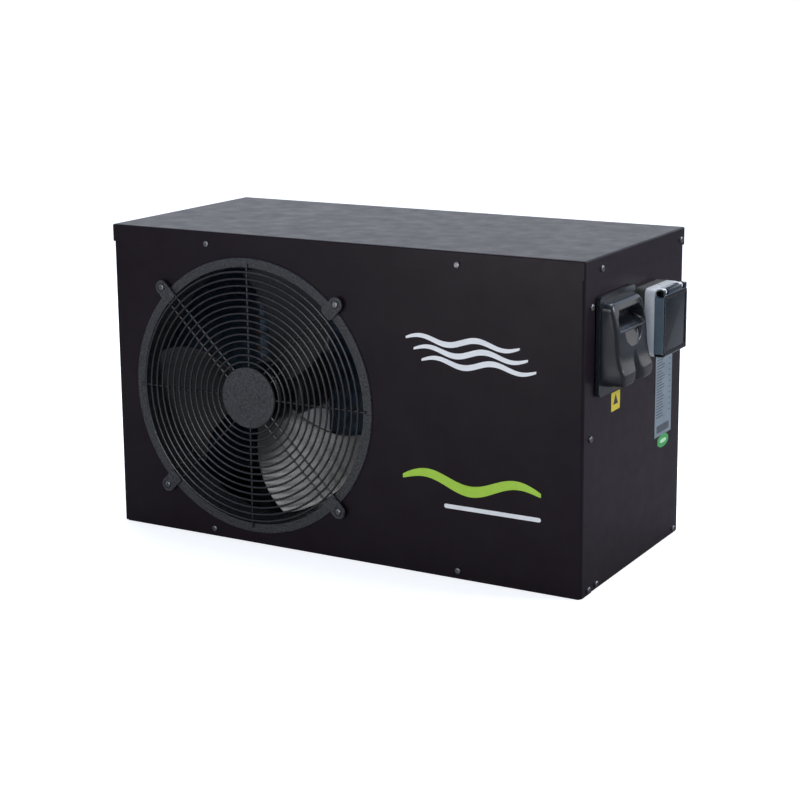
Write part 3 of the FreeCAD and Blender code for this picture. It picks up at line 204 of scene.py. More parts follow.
def makeFinish(name, base, tint, rough, metallic=0.0, mottle=12.0, grain=(1500.0, 0.00001),
               wave=(6.0, 0.0), wrinkle=None, wearAndHighlight=None, wearAndHighlightColour=(0.3, 0.3, 0.31), wearAndHighlightWidth=0.0007,
               dust=0.0, film=0.0, dustColour=(0.32, 0.3, 0.27), specular=0.5, coat=0.0,
               transmission=0.0, ior=1.5):
    # one painted, plated or moulded surface: colour clouds, rubbed edges with a painted edge highlight, dust
    # and a fine relief
    material = bpy.data.materials.new(name)
    material.use_nodes = True
    tree = material.node_tree
    shader = tree.nodes["Principled BSDF"]
    shader.inputs["Specular IOR Level"].default_value = specular
    shader.inputs["Coat Weight"].default_value = coat
    shader.inputs["Coat Roughness"].default_value = 0.12
    shader.inputs["Transmission Weight"].default_value = transmission
    shader.inputs["IOR"].default_value = ior
    shader.inputs["Metallic"].default_value = metallic
    cloud = placeGroup(tree, "mottle", {"Scale": mottle})
    colour = mixColour(tree, cloud, base, tint)
    # lighter edge colour: rubbed wear together with a painted highlight along the rounded edges
    if wearAndHighlight:
        wornAndLit = placeGroup(tree, "wearAndHighlight", {"Amount": wearAndHighlight, "Width": wearAndHighlightWidth})
        colour = mixColour(tree, wornAndLit, colour, wearAndHighlightColour)
    shine = placeGroup(tree, "mottle", {"Scale": mottle * 3.1, "Low": rough[0], "High": rough[1]})
    if dust or film:
        settled = placeGroup(tree, "dust", {"Amount": dust, "Film": film})
        colour = mixColour(tree, settled, colour, dustColour)
        shine = mathNode(tree, "ADD", shine, mathNode(tree, "MULTIPLY", settled, 0.5), True)
    join(tree, colour, shader.inputs["Base Color"])
    join(tree, shine, shader.inputs["Roughness"])
    relief = addNode(tree, "ShaderNodeBump", {"Distance": 1.0, "Strength": 1.0})
    if wrinkle:
        height = placeGroup(tree, "wrinkle", {"Scale": wrinkle[0], "Depth": wrinkle[1]})
    else:
        height = placeGroup(tree, "grain", {
            "Scale": grain[0], "Depth": grain[1], "Wave Scale": wave[0], "Wave Depth": wave[1]})
    join(tree, height, relief.inputs["Height"])
    join(tree, relief.outputs["Normal"], shader.inputs["Normal"])
    return material


# the edge colours below paint rubbed wear and a highlight along rounded edges together
finishValues = {
    "black_powder_coat": dict(
        base=(0.0115, 0.0065, 0.0105), tint=(0.0155, 0.0105, 0.014), rough=(0.3, 0.4),
        grain=(900.0, 0.00003), wave=(5.0, 0.0005), wearAndHighlight=0.3, wearAndHighlightColour=(0.1, 0.1, 0.115), specular=0.16),
    "wrinkle_black": dict(
        base=(0.006, 0.006, 0.007), tint=(0.062, 0.063, 0.068), rough=(0.35, 0.5), mottle=330.0,
        wrinkle=(420.0, 0.0006), wearAndHighlight=0.5, wearAndHighlightColour=(0.16, 0.16, 0.17), specular=0.45),
    "coated_wire": dict(
        base=(0.012, 0.011, 0.012), tint=(0.02, 0.019, 0.021), rough=(0.2, 0.3), grain=(2200.0, 0.00001),
        specular=0.8),
    "galvanised_steel": dict(
        base=(0.42, 0.43, 0.44), tint=(0.55, 0.56, 0.57), rough=(0.35, 0.55), metallic=1.0, mottle=70.0,
        wearAndHighlight=0.2, dust=0.1),
    "screw_steel": dict(
        base=(0.2, 0.2, 0.21), tint=(0.34, 0.34, 0.35), rough=(0.28, 0.42), metallic=1.0, mottle=300.0,
        wearAndHighlight=0.5, wearAndHighlightColour=(0.6, 0.6, 0.6), wearAndHighlightWidth=0.0003),
    "fin_aluminium": dict(
        base=(0.32, 0.47, 0.62), tint=(0.45, 0.58, 0.7), rough=(0.3, 0.42), metallic=0.85, mottle=40.0,
        dust=0.08, film=0.02),
    "copper": dict(
        base=(0.68, 0.3, 0.14), tint=(0.42, 0.2, 0.11), rough=(0.24, 0.4), metallic=1.0, mottle=60.0),
    "fan_plastic": dict(
        base=(0.006, 0.006, 0.0065), tint=(0.01, 0.01, 0.0105), rough=(0.26, 0.32), mottle=30.0,
        grain=(1800.0, 0.00002), wearAndHighlight=0.3, wearAndHighlightColour=(0.08, 0.08, 0.08), specular=0.9),
    "motor_paint": dict(
        base=(0.03, 0.03, 0.032), tint=(0.05, 0.05, 0.052), rough=(0.4, 0.5), wearAndHighlight=0.3, dust=0.2),
    "compressor_paint": dict(
        base=(0.012, 0.012, 0.013), tint=(0.02, 0.02, 0.021), rough=(0.22, 0.34), coat=0.3, wearAndHighlight=0.4,
        dust=0.1),
    "rubber": dict(
        base=(0.018, 0.018, 0.018), tint=(0.03, 0.03, 0.03), rough=(0.7, 0.85), grain=(1200.0, 0.00004),
        dust=0.2),
    "valve_brass": dict(
        base=(0.62, 0.43, 0.18), tint=(0.5, 0.33, 0.13), rough=(0.25, 0.4), metallic=1.0, mottle=60.0),
    "black_plastic": dict(
        base=(0.009, 0.0105, 0.013), tint=(0.013, 0.0155, 0.0195), rough=(0.2, 0.28), mottle=25.0,
        grain=(1600.0, 0.00002), wearAndHighlight=0.35, wearAndHighlightColour=(0.1, 0.108, 0.12), film=0.006, specular=0.62),
    "pvc_grey": dict(
        base=(0.1, 0.105, 0.11), tint=(0.14, 0.145, 0.15), rough=(0.3, 0.42), mottle=20.0,
        grain=(1400.0, 0.00002), wearAndHighlight=0.3, wearAndHighlightColour=(0.3, 0.3, 0.3), dust=0.12),
    "titanium": dict(
        base=(0.3, 0.28, 0.27), tint=(0.4, 0.39, 0.38), rough=(0.3, 0.45), metallic=1.0),
    "circuit_green": dict(
        base=(0.01, 0.12, 0.04), tint=(0.02, 0.17, 0.06), rough=(0.3, 0.4), mottle=90.0, coat=0.4),
    "terminal_cream": dict(
        base=(0.68, 0.64, 0.5), tint=(0.76, 0.73, 0.6), rough=(0.45, 0.55), dust=0.1),
    "base_grey": dict(
        base=(0.1, 0.098, 0.085), tint=(0.135, 0.13, 0.115), rough=(0.45, 0.58), mottle=30.0,
        grain=(1500.0, 0.00003), wearAndHighlight=0.3, dust=0.06),
    "case_white": dict(
        base=(0.8, 0.81, 0.81), tint=(0.86, 0.87, 0.87), rough=(0.24, 0.34), mottle=20.0,
        grain=(1800.0, 0.00001), dust=0.03, coat=0.15),
    "module_grey": dict(
        base=(0.05, 0.054, 0.058), tint=(0.075, 0.08, 0.085), rough=(0.42, 0.52), mottle=40.0,
        grain=(1700.0, 0.00003), wearAndHighlight=0.3),
    "display": dict(
        base=(0.02, 0.028, 0.024), tint=(0.03, 0.04, 0.035), rough=(0.06, 0.12), mottle=60.0, coat=0.6),
    "button_grey": dict(
        base=(0.36, 0.38, 0.4), tint=(0.46, 0.48, 0.5), rough=(0.4, 0.5), mottle=120.0, wearAndHighlight=0.4),
    "smoked_lid": dict(
        base=(0.17, 0.235, 0.28), tint=(0.21, 0.28, 0.33), rough=(0.08, 0.15), mottle=25.0,
        grain=(700.0, 0.000004), transmission=0.35, ior=1.49, specular=0.4),
    "plate_silver": dict(
        base=(0.15, 0.19, 0.22), tint=(0.2, 0.24, 0.275), rough=(0.3, 0.4), mottle=30.0, film=0.03),
    "label_yellow": dict(
        base=(0.6, 0.47, 0.012), tint=(0.66, 0.52, 0.02), rough=(0.3, 0.4), mottle=50.0, film=0.02),
    "lidBlack": dict(
        base=(0.004, 0.004, 0.005), tint=(0.008, 0.008, 0.009), rough=(0.2, 0.3), mottle=60.0,
        grain=(1500.0, 0.00001), wearAndHighlight=0.3, wearAndHighlightColour=(0.05, 0.05, 0.055), specular=0.25),
    "lidPane": dict(
        base=(0.018, 0.022, 0.026), tint=(0.028, 0.034, 0.04), rough=(0.08, 0.16), mottle=25.0,
        grain=(700.0, 0.000004), transmission=0.45, ior=1.4, specular=0.25),
    "lidBlue": dict(
        base=(0.008, 0.016, 0.028), tint=(0.013, 0.024, 0.038), rough=(0.14, 0.22), mottle=60.0,
        specular=0.35),
    "markWhite": dict(
        base=(0.8, 0.8, 0.8), tint=(0.88, 0.88, 0.88), rough=(0.35, 0.45), mottle=40.0, film=0.04),
    "markGreen": dict(
        base=(0.36, 0.62, 0.03), tint=(0.42, 0.68, 0.05), rough=(0.35, 0.45), mottle=40.0, film=0.03),
    "markInk": dict(
        base=(0.02, 0.02, 0.024), tint=(0.04, 0.04, 0.045), rough=(0.4, 0.5), mottle=90.0),
    "stickerGreen": dict(
        base=(0.03, 0.3, 0.06), tint=(0.05, 0.36, 0.09), rough=(0.25, 0.35), mottle=60.0, film=0.04),
    "stickerPale": dict(
        base=(0.4, 0.7, 0.42), tint=(0.5, 0.76, 0.5), rough=(0.3, 0.4), mottle=60.0),
}
finishes = {name: makeFinish(name, **values) for name, values in finishValues.items()}
for part in frame["record"]["subparts"]:
    for materialSlot in nodes[part["node"]].material_slots:
        materialSlot.material = finishes[part["material_slot"]]
print("finishes made:", len(finishes))


# mesh helpers: shapes are built in millimetres in the cabinet's own frame
def boxOf(nodeName):
    low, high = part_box(nodeName)
    return Vector(low) / mm, Vector(high) / mm


def newObject(name, bm, finishName, body="cabinet", smooth=35.0):
    bmesh.ops.recalc_face_normals(bm, faces=bm.faces)
    bmesh.ops.scale(bm, vec=(mm, mm, mm), verts=bm.verts)
    mesh = bpy.data.meshes.new(name)
    bm.to_mesh(mesh)
    bm.free()
    piece = bpy.data.objects.new(name, mesh)
    bpy.context.scene.collection.objects.link(piece)
    mesh.materials.append(finishes[finishName])
    mesh.shade_smooth()
    mesh.set_sharp_from_angle(angle=math.radians(smooth))
    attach(piece, body)
    return piece


def addTo(bm, other):
    holder = bpy.data.meshes.new("holder")
    other.to_mesh(holder)
    other.free()
    bm.from_mesh(holder)
    bpy.data.meshes.remove(holder)


def bevelEdges(bm, edges, radius, segments=3):
    bmesh.ops.bevel(bm, geom=edges, offset=radius, segments=segments, profile=0.5, affect="EDGES",
                    material=-1, clamp_overlap=True)


def block(low, high):
    bm = bmesh.new()
    bmesh.ops.create_cube(bm, size=1.0)
    size = [b - a for a, b in zip(low, high)]
    middle = [(a + b) / 2 for a, b in zip(low, high)]
    bmesh.ops.scale(bm, vec=size, verts=bm.verts)
    bmesh.ops.translate(bm, vec=middle, verts=bm.verts)
    return bm


def edgesAlong(bm, axis):
    found = []
    for edge in bm.edges:
        run = edge.verts[1].co - edge.verts[0].co
        run[axis] = 0.0
        if run.length < 1e-6:
            found.append(edge)
    return found


def rimEdges(bm, axis, place):
    return [e for e in bm.edges if all(abs(v.co[axis] - place) < 1e-5 for v in e.verts)]


def roundedBlock(low, high, axis, corner, rim, cornerSteps=6):
    # a block with round corners along the axis and a round rim at its high end
    bm = block(low, high)
    bevelEdges(bm, edgesAlong(bm, axis), corner, cornerSteps)
    bevelEdges(bm, rimEdges(bm, axis, high[axis]), rim, 3)
    return bm


def centreOf(nodeName):
    low, high = boxOf(nodeName)
    return (low + high) / 2


def turnedShape(points, centre, axis, steps=64):
    # spins an outline of (radius, along) pairs about an axis through the centre
    bm = bmesh.new()
    axis = Vector(axis)
    side = Vector((0, 0, 1)) if abs(axis.z) < 0.5 else Vector((1, 0, 0))
    verts = [bm.verts.new(Vector(centre) + side * r + axis * along) for r, along in points]
    edges = [bm.edges.new(pair) for pair in zip(verts, verts[1:])]
    bmesh.ops.spin(bm, geom=verts + edges, cent=centre, axis=axis, angle=math.tau, steps=steps,
                   use_merge=True)
    bmesh.ops.remove_doubles(bm, verts=bm.verts, dist=1e-4)
    return bm


def through(points, t):
    # a smooth curve through (t, value) pairs
    points = sorted(points)
    if t <= points[0][0]:
        return points[0][1]
    if t >= points[-1][0]:
        return points[-1][1]
    slopes = []
    for i in range(len(points)):
        a = points[max(i - 1, 0)]
        b = points[min(i + 1, len(points) - 1)]
        slopes.append((b[1] - a[1]) / (b[0] - a[0]))
    for i in range(len(points) - 1):
        (t0, v0), (t1, v1) = points[i], points[i + 1]
        if t <= t1:
            span = t1 - t0
            s = (t - t0) / span
            first = v0 * (2 * s ** 3 - 3 * s ** 2 + 1) + slopes[i] * span * (s ** 3 - 2 * s ** 2 + s)
            return first + v1 * (3 * s ** 2 - 2 * s ** 3) + slopes[i + 1] * span * (s ** 3 - s ** 2)


def ease(low, high, t):
    s = min(max((t - low) / (high - low), 0.0), 1.0)
    return s * s * (3 - 2 * s)


def roundedBorder(u, v, halfA, halfB, radius):
    # where a point on the border of a square lands on a rounded rectangle
    a, b = u * halfA, v * halfB
    cornerA, cornerB = halfA - radius, halfB - radius
    if abs(a) > cornerA and abs(b) > cornerB:
        away = Vector((abs(a) - cornerA, abs(b) - cornerB)).normalized() * radius
        a = math.copysign(cornerA + away.x, a)
        b = math.copysign(cornerB + away.y, b)
    return a, b


# the moulded service cover
coverValues = {
    "plateThickness": 6.6,
    "plateCorner": 9.0,
    "plateRim": 1.8,
    "hoodMargin": (7.0, 7.0, 12.0, 7.0),
    "hoodCorner": 13.0,
    "edgeRadius": 4.5,
    "draft": 2.5,
    "profile": ((0, 38.4), (17, 38.9), (20, 38.2), (27, 35.4), (35, 33.0), (45, 31.2), (57, 30.2),
                (69, 29.2), (83, 27.4), (95, 24.6), (106, 21.0), (115, 17.5)),
    "valleyTop": 48.0,
    "valleyDepth": 20.0,
    "valleyHalf": 11.0,
    "valleyNose": 1.2,
    "crownHalf": 48.0,
    "crownDrop": 1.6,
    "gripHalf": 40.0,
    "gripTaper": 6.0,
    "gripLow": 75.0,
    "gripHigh": 99.5,
    "gripFloor": 3.0,
    "dishHalf": 27.0,
    "dishHeight": 22.0,
    "dishDepth": 7.0,
    "wallFoot": 14.0,
    "steps": 128,
    "wallSteps": 2,
    "edgeSteps": 5,
    "sealProud": 1.2,
}


def hoodHeight(across, up):
    # how far the hood stands out, at a place across it and above its foot
    c = coverValues
    height = through(c["profile"], up)
    legs = max(0.0, 1.0 - up / c["valleyTop"])
    if legs > 0:
        half = c["valleyNose"] + c["valleyHalf"] * legs
        height -= c["valleyDepth"] * legs ** 1.15 * math.exp(-(across / half) ** 2 * 1.2)
    height -= c["crownDrop"] * (abs(across) / c["crownHalf"]) ** 4
    # the finger grip, narrower at its top, with a ramp that falls to its back
    gripLow, gripHigh = c["gripLow"], c["gripHigh"]
    sideways = abs(across) + c["gripTaper"] * ease(gripHigh - 10.5, gripHigh - 0.5, up)
    inGrip = ease(c["gripHalf"] + 1.2, c["gripHalf"] - 0.4, sideways)
    inGrip *= ease(gripHigh + 1.0, gripHigh - 0.6, up) * ease(gripLow - 0.8, gripLow + 0.6, up)
    ridge = gripLow - 3.0
    if inGrip > 0:
        ramp = ease(ridge, gripHigh - 9.0, up)
        floor = (height - 1.5) * (1 - ramp) + c["gripFloor"] * ramp
        height = height * (1 - inGrip) + floor * inGrip
    # the half-round dish under the ridge
    drop = ridge - up
    if 0 <= drop <= c["dishHeight"]:
        reach = (across / c["dishHalf"]) ** 2 + (drop / c["dishHeight"]) ** 2
        if reach < 1.0:
            fall = (1 - drop / c["dishHeight"]) * ease(1.0, 0.9, reach) * ease(0.0, 0.8, drop)
            height -= c["dishDepth"] * fall
    return height


def makeServiceCover():
    c = coverValues
    low, high = boxOf("service_cover")
    plateHigh = (low.x + c["plateThickness"], high.y, high.z)
    bm = roundedBlock(low, plateHigh, 0, c["plateCorner"], c["plateRim"])
    front, rear, below, above = c["hoodMargin"]
    centreY = (low.y + front + high.y - rear) / 2
    halfY = (high.y - rear - low.y - front) / 2
    footZ = low.z + below
    halfZ = (high.z - above - footZ) / 2
    centreZ = footZ + halfZ
    hood = bmesh.new()
    bmesh.ops.create_grid(hood, x_segments=c["steps"], y_segments=c["steps"], size=1.0)
    # the grid's outer rings make the wall, the next ones the round edge, the rest the face
    step = 2.0 / c["steps"]
    wallEnd = 1.0 - c["wallSteps"] * step
    roundEnd = wallEnd - c["edgeSteps"] * step
    for vert in hood.verts:
        u, v = vert.co.x, vert.co.y
        ring = max(abs(u), abs(v), 1e-6)
        a, b = roundedBorder(u / ring, v / ring, 1.0, 1.0, 0.0)
        if ring > roundEnd:
            turn = min(max((ring - roundEnd) / (wallEnd - roundEnd), 0.0), 1.0) * math.pi / 2
            inset = c["draft"] + c["edgeRadius"] * (1 - math.sin(turn))
            sink = c["edgeRadius"] * (1 - math.cos(turn))
            if ring > wallEnd + 1e-4:
                inset = c["draft"] * (1 - (ring - wallEnd) / (1 - wallEnd))
                sink = None if ring > 1 - 1e-4 else c["wallFoot"]
            y, z = roundedBorder(a, b, halfY - inset, halfZ - inset, max(c["hoodCorner"] - inset, 2.0))
        else:
            inset = c["draft"] + c["edgeRadius"]
            y, z = roundedBorder(a, b, halfY - inset, halfZ - inset, c["hoodCorner"] - inset)
            y, z = y * ring / roundEnd, z * ring / roundEnd
            sink = 0.0
        height = hoodHeight(y, z + halfZ)
        if sink is None:
            x = c["plateThickness"] - 0.5
        else:
            x = max(height - sink, c["gripFloor"])
        vert.co = (low.x + x, centreY + y, centreZ + z)
    bmesh.ops.smooth_vert(hood, verts=[v for v in hood.verts if not v.is_boundary], factor=0.25,
                          use_axis_x=True, use_axis_y=True, use_axis_z=True)
    addTo(bm, hood)
    cover = newObject("serviceCover", bm, "black_plastic", smooth=42.0)
    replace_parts(cover, "service_cover")
    # the seal between the cover and the side panel
    seal = roundedBlock(low, (low.x + c["sealProud"], high.y, high.z), 0, c["plateCorner"], 0.3)
    newObject("serviceCoverSeal", seal, "rubber")


makeServiceCover()
print("service cover done")


# the controller: a white case with a smoked lid on two ears
controlValues = {
    "caseCorner": 8.0,
    "caseRim": 2.1,
    "caseProud": 1.0,
    "pocketMargin": 8.0,
    "pocketTop": 12.0,
    "pocketDepth": 10.0,
    "earStart": 9.0,
    "earWidth": 9.0,
    "earLift": 4.6,
    "glassBack": -0.6,
    "glassProud": 0.35,
    "bezel": 2.0,
    "bezelProud": 0.2,
    "markBase": -0.2,
    "markFace": 0.12,
    "buttonPitch": 16.0,
    "buttonBar": (3.0, 326.0, 327.0),
    "titleBar": (373.0, 2.6, 0.8),
    "lidCorner": 6.0,
    "lidRim": 2.6,
    "lidWall": 2.0,
    "lidTopDrop": 7.6,
    "frameWidth": 5.0,
    "frameInset": 1.2,
    "frameProud": 0.6,
    "paneInset": 5.0,
    "barrelRadius": 4.0,
    "capRadius": 4.2,
    "barrelEdge": 0.8,
    "endGap": 0.5,
    "footWidth": 7.0,
    "footHeight": 5.0,
}


def earSpans():
    # where the case's two hinge ears start and end along the hinge
    start, width = controlValues["earStart"], controlValues["earWidth"]
    low, high = boxOf("controller_case")
    return ((low.y + start, low.y + start + width), (high.y - start - width, high.y - start))


def makeControllerCase():
    c = controlValues
    low, high = boxOf("controller_case")
    frontX = boxOf("controller_module")[1].x + c["caseProud"]
    top = boxOf("controller_base")[1].z
    pin = centreOf("lid_hinge_pin")
    bm = block((low.x, low.y, low.z), (frontX, high.y, top))
    bevelEdges(bm, edgesAlong(bm, 0), c["caseCorner"], 8)
    rim = rimEdges(bm, 0, frontX)
    face = max(bm.faces, key=lambda f: f.calc_center_median().x)
    bmesh.ops.inset_region(bm, faces=[face], thickness=c["pocketMargin"], use_even_offset=True)
    upper = [v for v in face.verts if v.co.z > (low.z + top) / 2]
    bmesh.ops.translate(bm, vec=(0, 0, c["pocketMargin"] - c["pocketTop"]), verts=upper)
    pulled = bmesh.ops.extrude_discrete_faces(bm, faces=[face])["faces"]
    bmesh.ops.translate(bm, vec=(-c["pocketDepth"], 0, 0), verts=pulled[0].verts)
    bevelEdges(bm, rim, c["caseRim"], 4)
    # the ears that carry the hinge pin
    lift = c["earLift"]
    for start, end in earSpans():
        outline = ((0.01, 0), (lift, 0), (lift, end - start), (0.01, end - start))
        addTo(bm, turnedShape(outline, (pin.x, start, pin.z), (0, 1, 0), 32))
        rootLow, rootHigh = (frontX - 3.0, start, pin.z - 3.5), (pin.x, end, pin.z + lift - 0.2)
        addTo(bm, roundedBlock(rootLow, rootHigh, 1, 1.0, 0.4, 2))
    case = newObject("controllerCase", bm, "case_white", smooth=30.0)
    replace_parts(case, "controller_case")


def makeControllerModule():
    c = controlValues
    low, high = boxOf("controller_module")
    face = high.x
    bm = roundedBlock(low, high, 0, 2.5, 0.8)
    module = newObject("controllerModule", bm, "module_grey")
    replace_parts(module, "controller_module")
    paneLow, paneHigh = boxOf("display_window")
    back = face + c["glassBack"]
    glass = roundedBlock((back, paneLow.y, paneLow.z), (face + c["glassProud"], paneHigh.y, paneHigh.z),
                         0, 1.2, 0.3, 3)
    shown = newObject("displayGlass", glass, "display")
    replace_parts(shown, "display_window")
    edge = c["bezel"]
    bezel = roundedBlock((back, paneLow.y - edge, paneLow.z - edge),
                         (face + c["bezelProud"], paneHigh.y + edge, paneHigh.z + edge), 0, 2.0, 0.2, 3)
    newObject("displayBezel", bezel, "black_plastic")
    # plain bars: one above each button and three shorter ones at the top
    marks = bmesh.new()
    back, front = face + c["markBase"], face + c["markFace"]
    half, barLow, barHigh = c["buttonBar"]
    for i in range(4):
        y = (low.y + high.y) / 2 + (i - 1.5) * c["buttonPitch"]
        addTo(marks, block((back, y - half, barLow), (front, y + half, barHigh)))
    titleHigh, titlePitch, titleThick = c["titleBar"]
    for i in range(3):
        z = titleHigh - titlePitch * i
        addTo(marks, block((back, low.y + 8.0, z), (front, high.y - 10.0 - 9.0 * i, z + titleThick)))
    newObject("moduleMarks", marks, "plate_silver")


def lidPiece(name, bm, finishName):
    return newObject(name, bm, finishName, body="controller_lid", smooth=30.0)


def makeControllerLid():
    c = controlValues
    low, high = boxOf("controller_lid")
    pin = centreOf("lid_hinge_pin")
    top = high.z - c["lidTopDrop"]
    skin = high.x - c["frameProud"]
    bm = block((low.x, low.y, low.z), (skin, high.y, top))
    bevelEdges(bm, edgesAlong(bm, 0), c["lidCorner"], 6)
    bevelEdges(bm, rimEdges(bm, 0, skin), c["lidRim"], 4)
    back = [f for f in bm.faces if all(abs(v.co.x - low.x) < 1e-4 for v in f.verts)]
    bmesh.ops.delete(bm, geom=back, context="FACES_ONLY")
    bmesh.ops.recalc_face_normals(bm, faces=bm.faces)
    facing = max(bm.faces, key=lambda f: f.calc_center_median().x)
    if facing.normal.x < 0:
        bmesh.ops.reverse_faces(bm, faces=bm.faces)
    bmesh.ops.solidify(bm, geom=bm.faces[:], thickness=c["lidWall"])
    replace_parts(lidPiece("lidShell", bm, "smoked_lid"), "controller_lid")
    # black rim round the face
    edge = c["frameInset"]
    rim = block((skin - 2.0, low.y + edge, low.z + edge), (high.x, high.y - edge, top - 0.4))
    bevelEdges(rim, edgesAlong(rim, 0), c["lidCorner"] - 1.0, 6)
    face = max(rim.faces, key=lambda f: f.calc_center_median().x)
    bmesh.ops.inset_region(rim, faces=[face], thickness=c["frameWidth"], use_even_offset=True)
    under = min(rim.faces, key=lambda f: f.calc_center_median().x)
    bmesh.ops.inset_region(rim, faces=[under], thickness=c["frameWidth"], use_even_offset=True)
    mouths = face.edges[:] + under.edges[:]
    bmesh.ops.delete(rim, geom=[face, under], context="FACES_ONLY")
    bmesh.ops.bridge_loops(rim, edges=mouths)
    bmesh.ops.recalc_face_normals(rim, faces=rim.faces)
    bevelEdges(rim, rimEdges(rim, 0, high.x), 0.5, 2)
    lidPiece("lidRim", rim, "lidBlack")
    # dark pane inside the rim
    edge = c["paneInset"]
    pane = roundedBlock((skin - 2.6, low.y + edge, low.z + edge),
                        (skin + 0.1, high.y - edge, top - edge + 1.0), 0, 3.0, 0.3, 4)
    lidPiece("lidPane", pane, "lidPane")
    # hinge barrel between the ears and a cap at each end
    (frontStart, frontEnd), (rearStart, rearEnd) = earSpans()
    gap = c["endGap"]
    strips = (("lidBarrel", "lidBlue", c["barrelRadius"], frontEnd + gap, rearStart - gap),
              ("lidCapFront", "lidBlack", c["capRadius"], low.y, frontStart - gap),
              ("lidCapRear", "lidBlack", c["capRadius"], rearEnd + gap, high.y))
    for name, finishName, radius, start, end in strips:
        length, edge = end - start, c["barrelEdge"]
        outline = ((0.01, 0), (radius - edge, 0), (radius, edge), (radius, length - edge),
                   (radius - edge, length), (0.01, length))
        barrel = turnedShape(outline, (pin.x, start, pin.z), (0, 1, 0), 32)
        webLow, webHigh = (pin.x, start, top - 1.5), (skin - 0.6, end, pin.z + radius - 0.3)
        addTo(barrel, roundedBlock(webLow, webHigh, 1, 1.2, 0.4, 3))
        lidPiece(name, barrel, finishName)
    wide, tall = c["footWidth"], c["footHeight"]
    for name, start in (("lidFootFront", low.y), ("lidFootRear", high.y - wide)):
        foot = roundedBlock((low.x + 1.0, start, low.z), (high.x, start + wide, low.z + tall), 0, 2.4, 1.2, 4)
        lidPiece(name, foot, "lidBlack")


makeControllerCase()
makeControllerModule()
makeControllerLid()
print("controller done")


# the axial fan
fanValues = {
    "blades": 3,
    "hubRadius": 42.0,
    "hubFront": -158.0,
    "hubDepth": 35.0,
    "hubWall": 3.0,
    "ribs": 9,
    "ribEnd": 28.0,
    "tipFromRing": 20.0,
    "span": (-158.0, -114.0),
    "thickness": 2.4,
    "rings": 14,
    "across": 12,
}


def bladePlace(outward, across, centre, tip):
    # a swept, twisted blade: outward and across both run from 0 to 1
    f = fanValues
    inner = f["hubRadius"] - 2.0
    radius = inner + outward * (tip - inner) - 3.0 * (1 - math.sin(math.pi * across)) * outward ** 4
    lowAngle = -95.0 + 19.0 * outward - 5.0 * math.sin(math.pi * outward)
    highAngle = -32.0 + 20.0 * outward ** 2
    angle = math.radians(lowAngle + across * (highAngle - lowAngle))
    front, rear = f["span"]
    middle = (front + rear) / 2
    swing = (rear - front - 4.0) * (0.72 + 0.28 * outward)
    y = middle + (across - 0.5) * swing + 3.0 * math.sin(math.pi * across)
    return (centre.x + radius * math.cos(angle), y, centre.z + radius * math.sin(angle))


def makeFan():
    f = fanValues
    low, high = boxOf("fan_shroud")
    centre = Vector(((low.x + high.x) / 2, 0, (low.z + high.z) / 2))
    tip = (high.x - low.x) / 2 - f["tipFromRing"]
    blades = bmesh.new()
    for number in range(f["blades"]):
        sheet = bmesh.new()
        bmesh.ops.create_grid(sheet, x_segments=f["rings"], y_segments=f["across"], size=0.5)
        for vert in sheet.verts:
            vert.co = bladePlace(vert.co.x + 0.5, vert.co.y + 0.5, centre, tip)
        bmesh.ops.recalc_face_normals(sheet, faces=sheet.faces)
        bmesh.ops.solidify(sheet, geom=sheet.faces[:], thickness=f["thickness"])
        turn = Matrix.Rotation(-math.tau * number / f["blades"], 3, "Y")
        bmesh.ops.rotate(sheet, cent=centre, matrix=turn, verts=sheet.verts)
        addTo(blades, sheet)
    piece = newObject("fanBlades", blades, "fan_plastic", body="fan", smooth=60.0)
    soften = piece.modifiers.new("soften", "SUBSURF")
    soften.levels = 1
    soften.render_levels = 1
    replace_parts(piece, "fan_impeller")
    front, radius, bore = f["hubFront"], f["hubRadius"], f["hubRadius"] - f["hubWall"]
    rear = front + f["hubDepth"]
    outline = ((5.2, front + 20), (5.2, front + 1.0), (11.0, front + 1.0), (12.0, front + 2.2),
               (30.0, front + 2.6), (36.0, front + 0.6), (39.5, front + 0.2), (41.4, front + 1.6),
               (radius, front + 4.0), (radius, rear), (bore, rear), (bore, front + 6.0))
    hub = turnedShape(outline, (centre.x, 0, centre.z), (0, 1, 0), 72)
    for number in range(f["ribs"]):
        rib = block((centre.x + 10, front + 4.0, centre.z - 1.0),
                    (centre.x + radius - 2.0, front + f["ribEnd"], centre.z + 1.0))
        turn = Matrix.Rotation(math.tau * number / f["ribs"], 3, "Y")
        bmesh.ops.rotate(rib, cent=centre, matrix=turn, verts=rib.verts)
        addTo(hub, rib)
    newObject("fanHub", hub, "fan_plastic", body="fan", smooth=35.0)


makeFan()
print("fan done")


# the coil's fins
finValues = {"pitch": 1.9, "thickness": 0.35, "bend": 40.0, "depth": 22.0}


def makeFins():
    f = finValues
    low, high = boxOf("evaporator_fins")
    half = f["depth"] / 2
    thin = f["thickness"] / 2
    rearY = high.y - half
    leftX = low.x + half
    bendX = leftX + f["bend"]
    bendY = rearY - f["bend"]
    bm = bmesh.new()
    for i in range(int((high.x - bendX) / f["pitch"])):
        x = high.x - (i + 0.5) * f["pitch"]
        addTo(bm, block((x - thin, rearY - half, low.z), (x + thin, rearY + half, high.z)))
    for i in range(int((bendY - low.y) / f["pitch"])):
        y = low.y + (i + 0.5) * f["pitch"]
        addTo(bm, block((leftX - half, y - thin, low.z), (leftX + half, y + thin, high.z)))
    # the fins fan out round the bend
    count = int(f["bend"] * math.pi / 2 / f["pitch"])
    for i in range(count):
        angle = math.pi / 2 * (i + 0.5) / count
        fin = block((leftX - half, bendY - thin, low.z), (leftX + half, bendY + thin, high.z))
        turn = Matrix.Rotation(-angle, 3, "Z")
        bmesh.ops.rotate(fin, cent=(bendX, bendY, 0), matrix=turn, verts=fin.verts)
        addTo(bm, fin)
    fins = newObject("coilFins", bm, "fin_aluminium")
    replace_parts(fins, "evaporator_fins")


makeFins()
print("fins done")


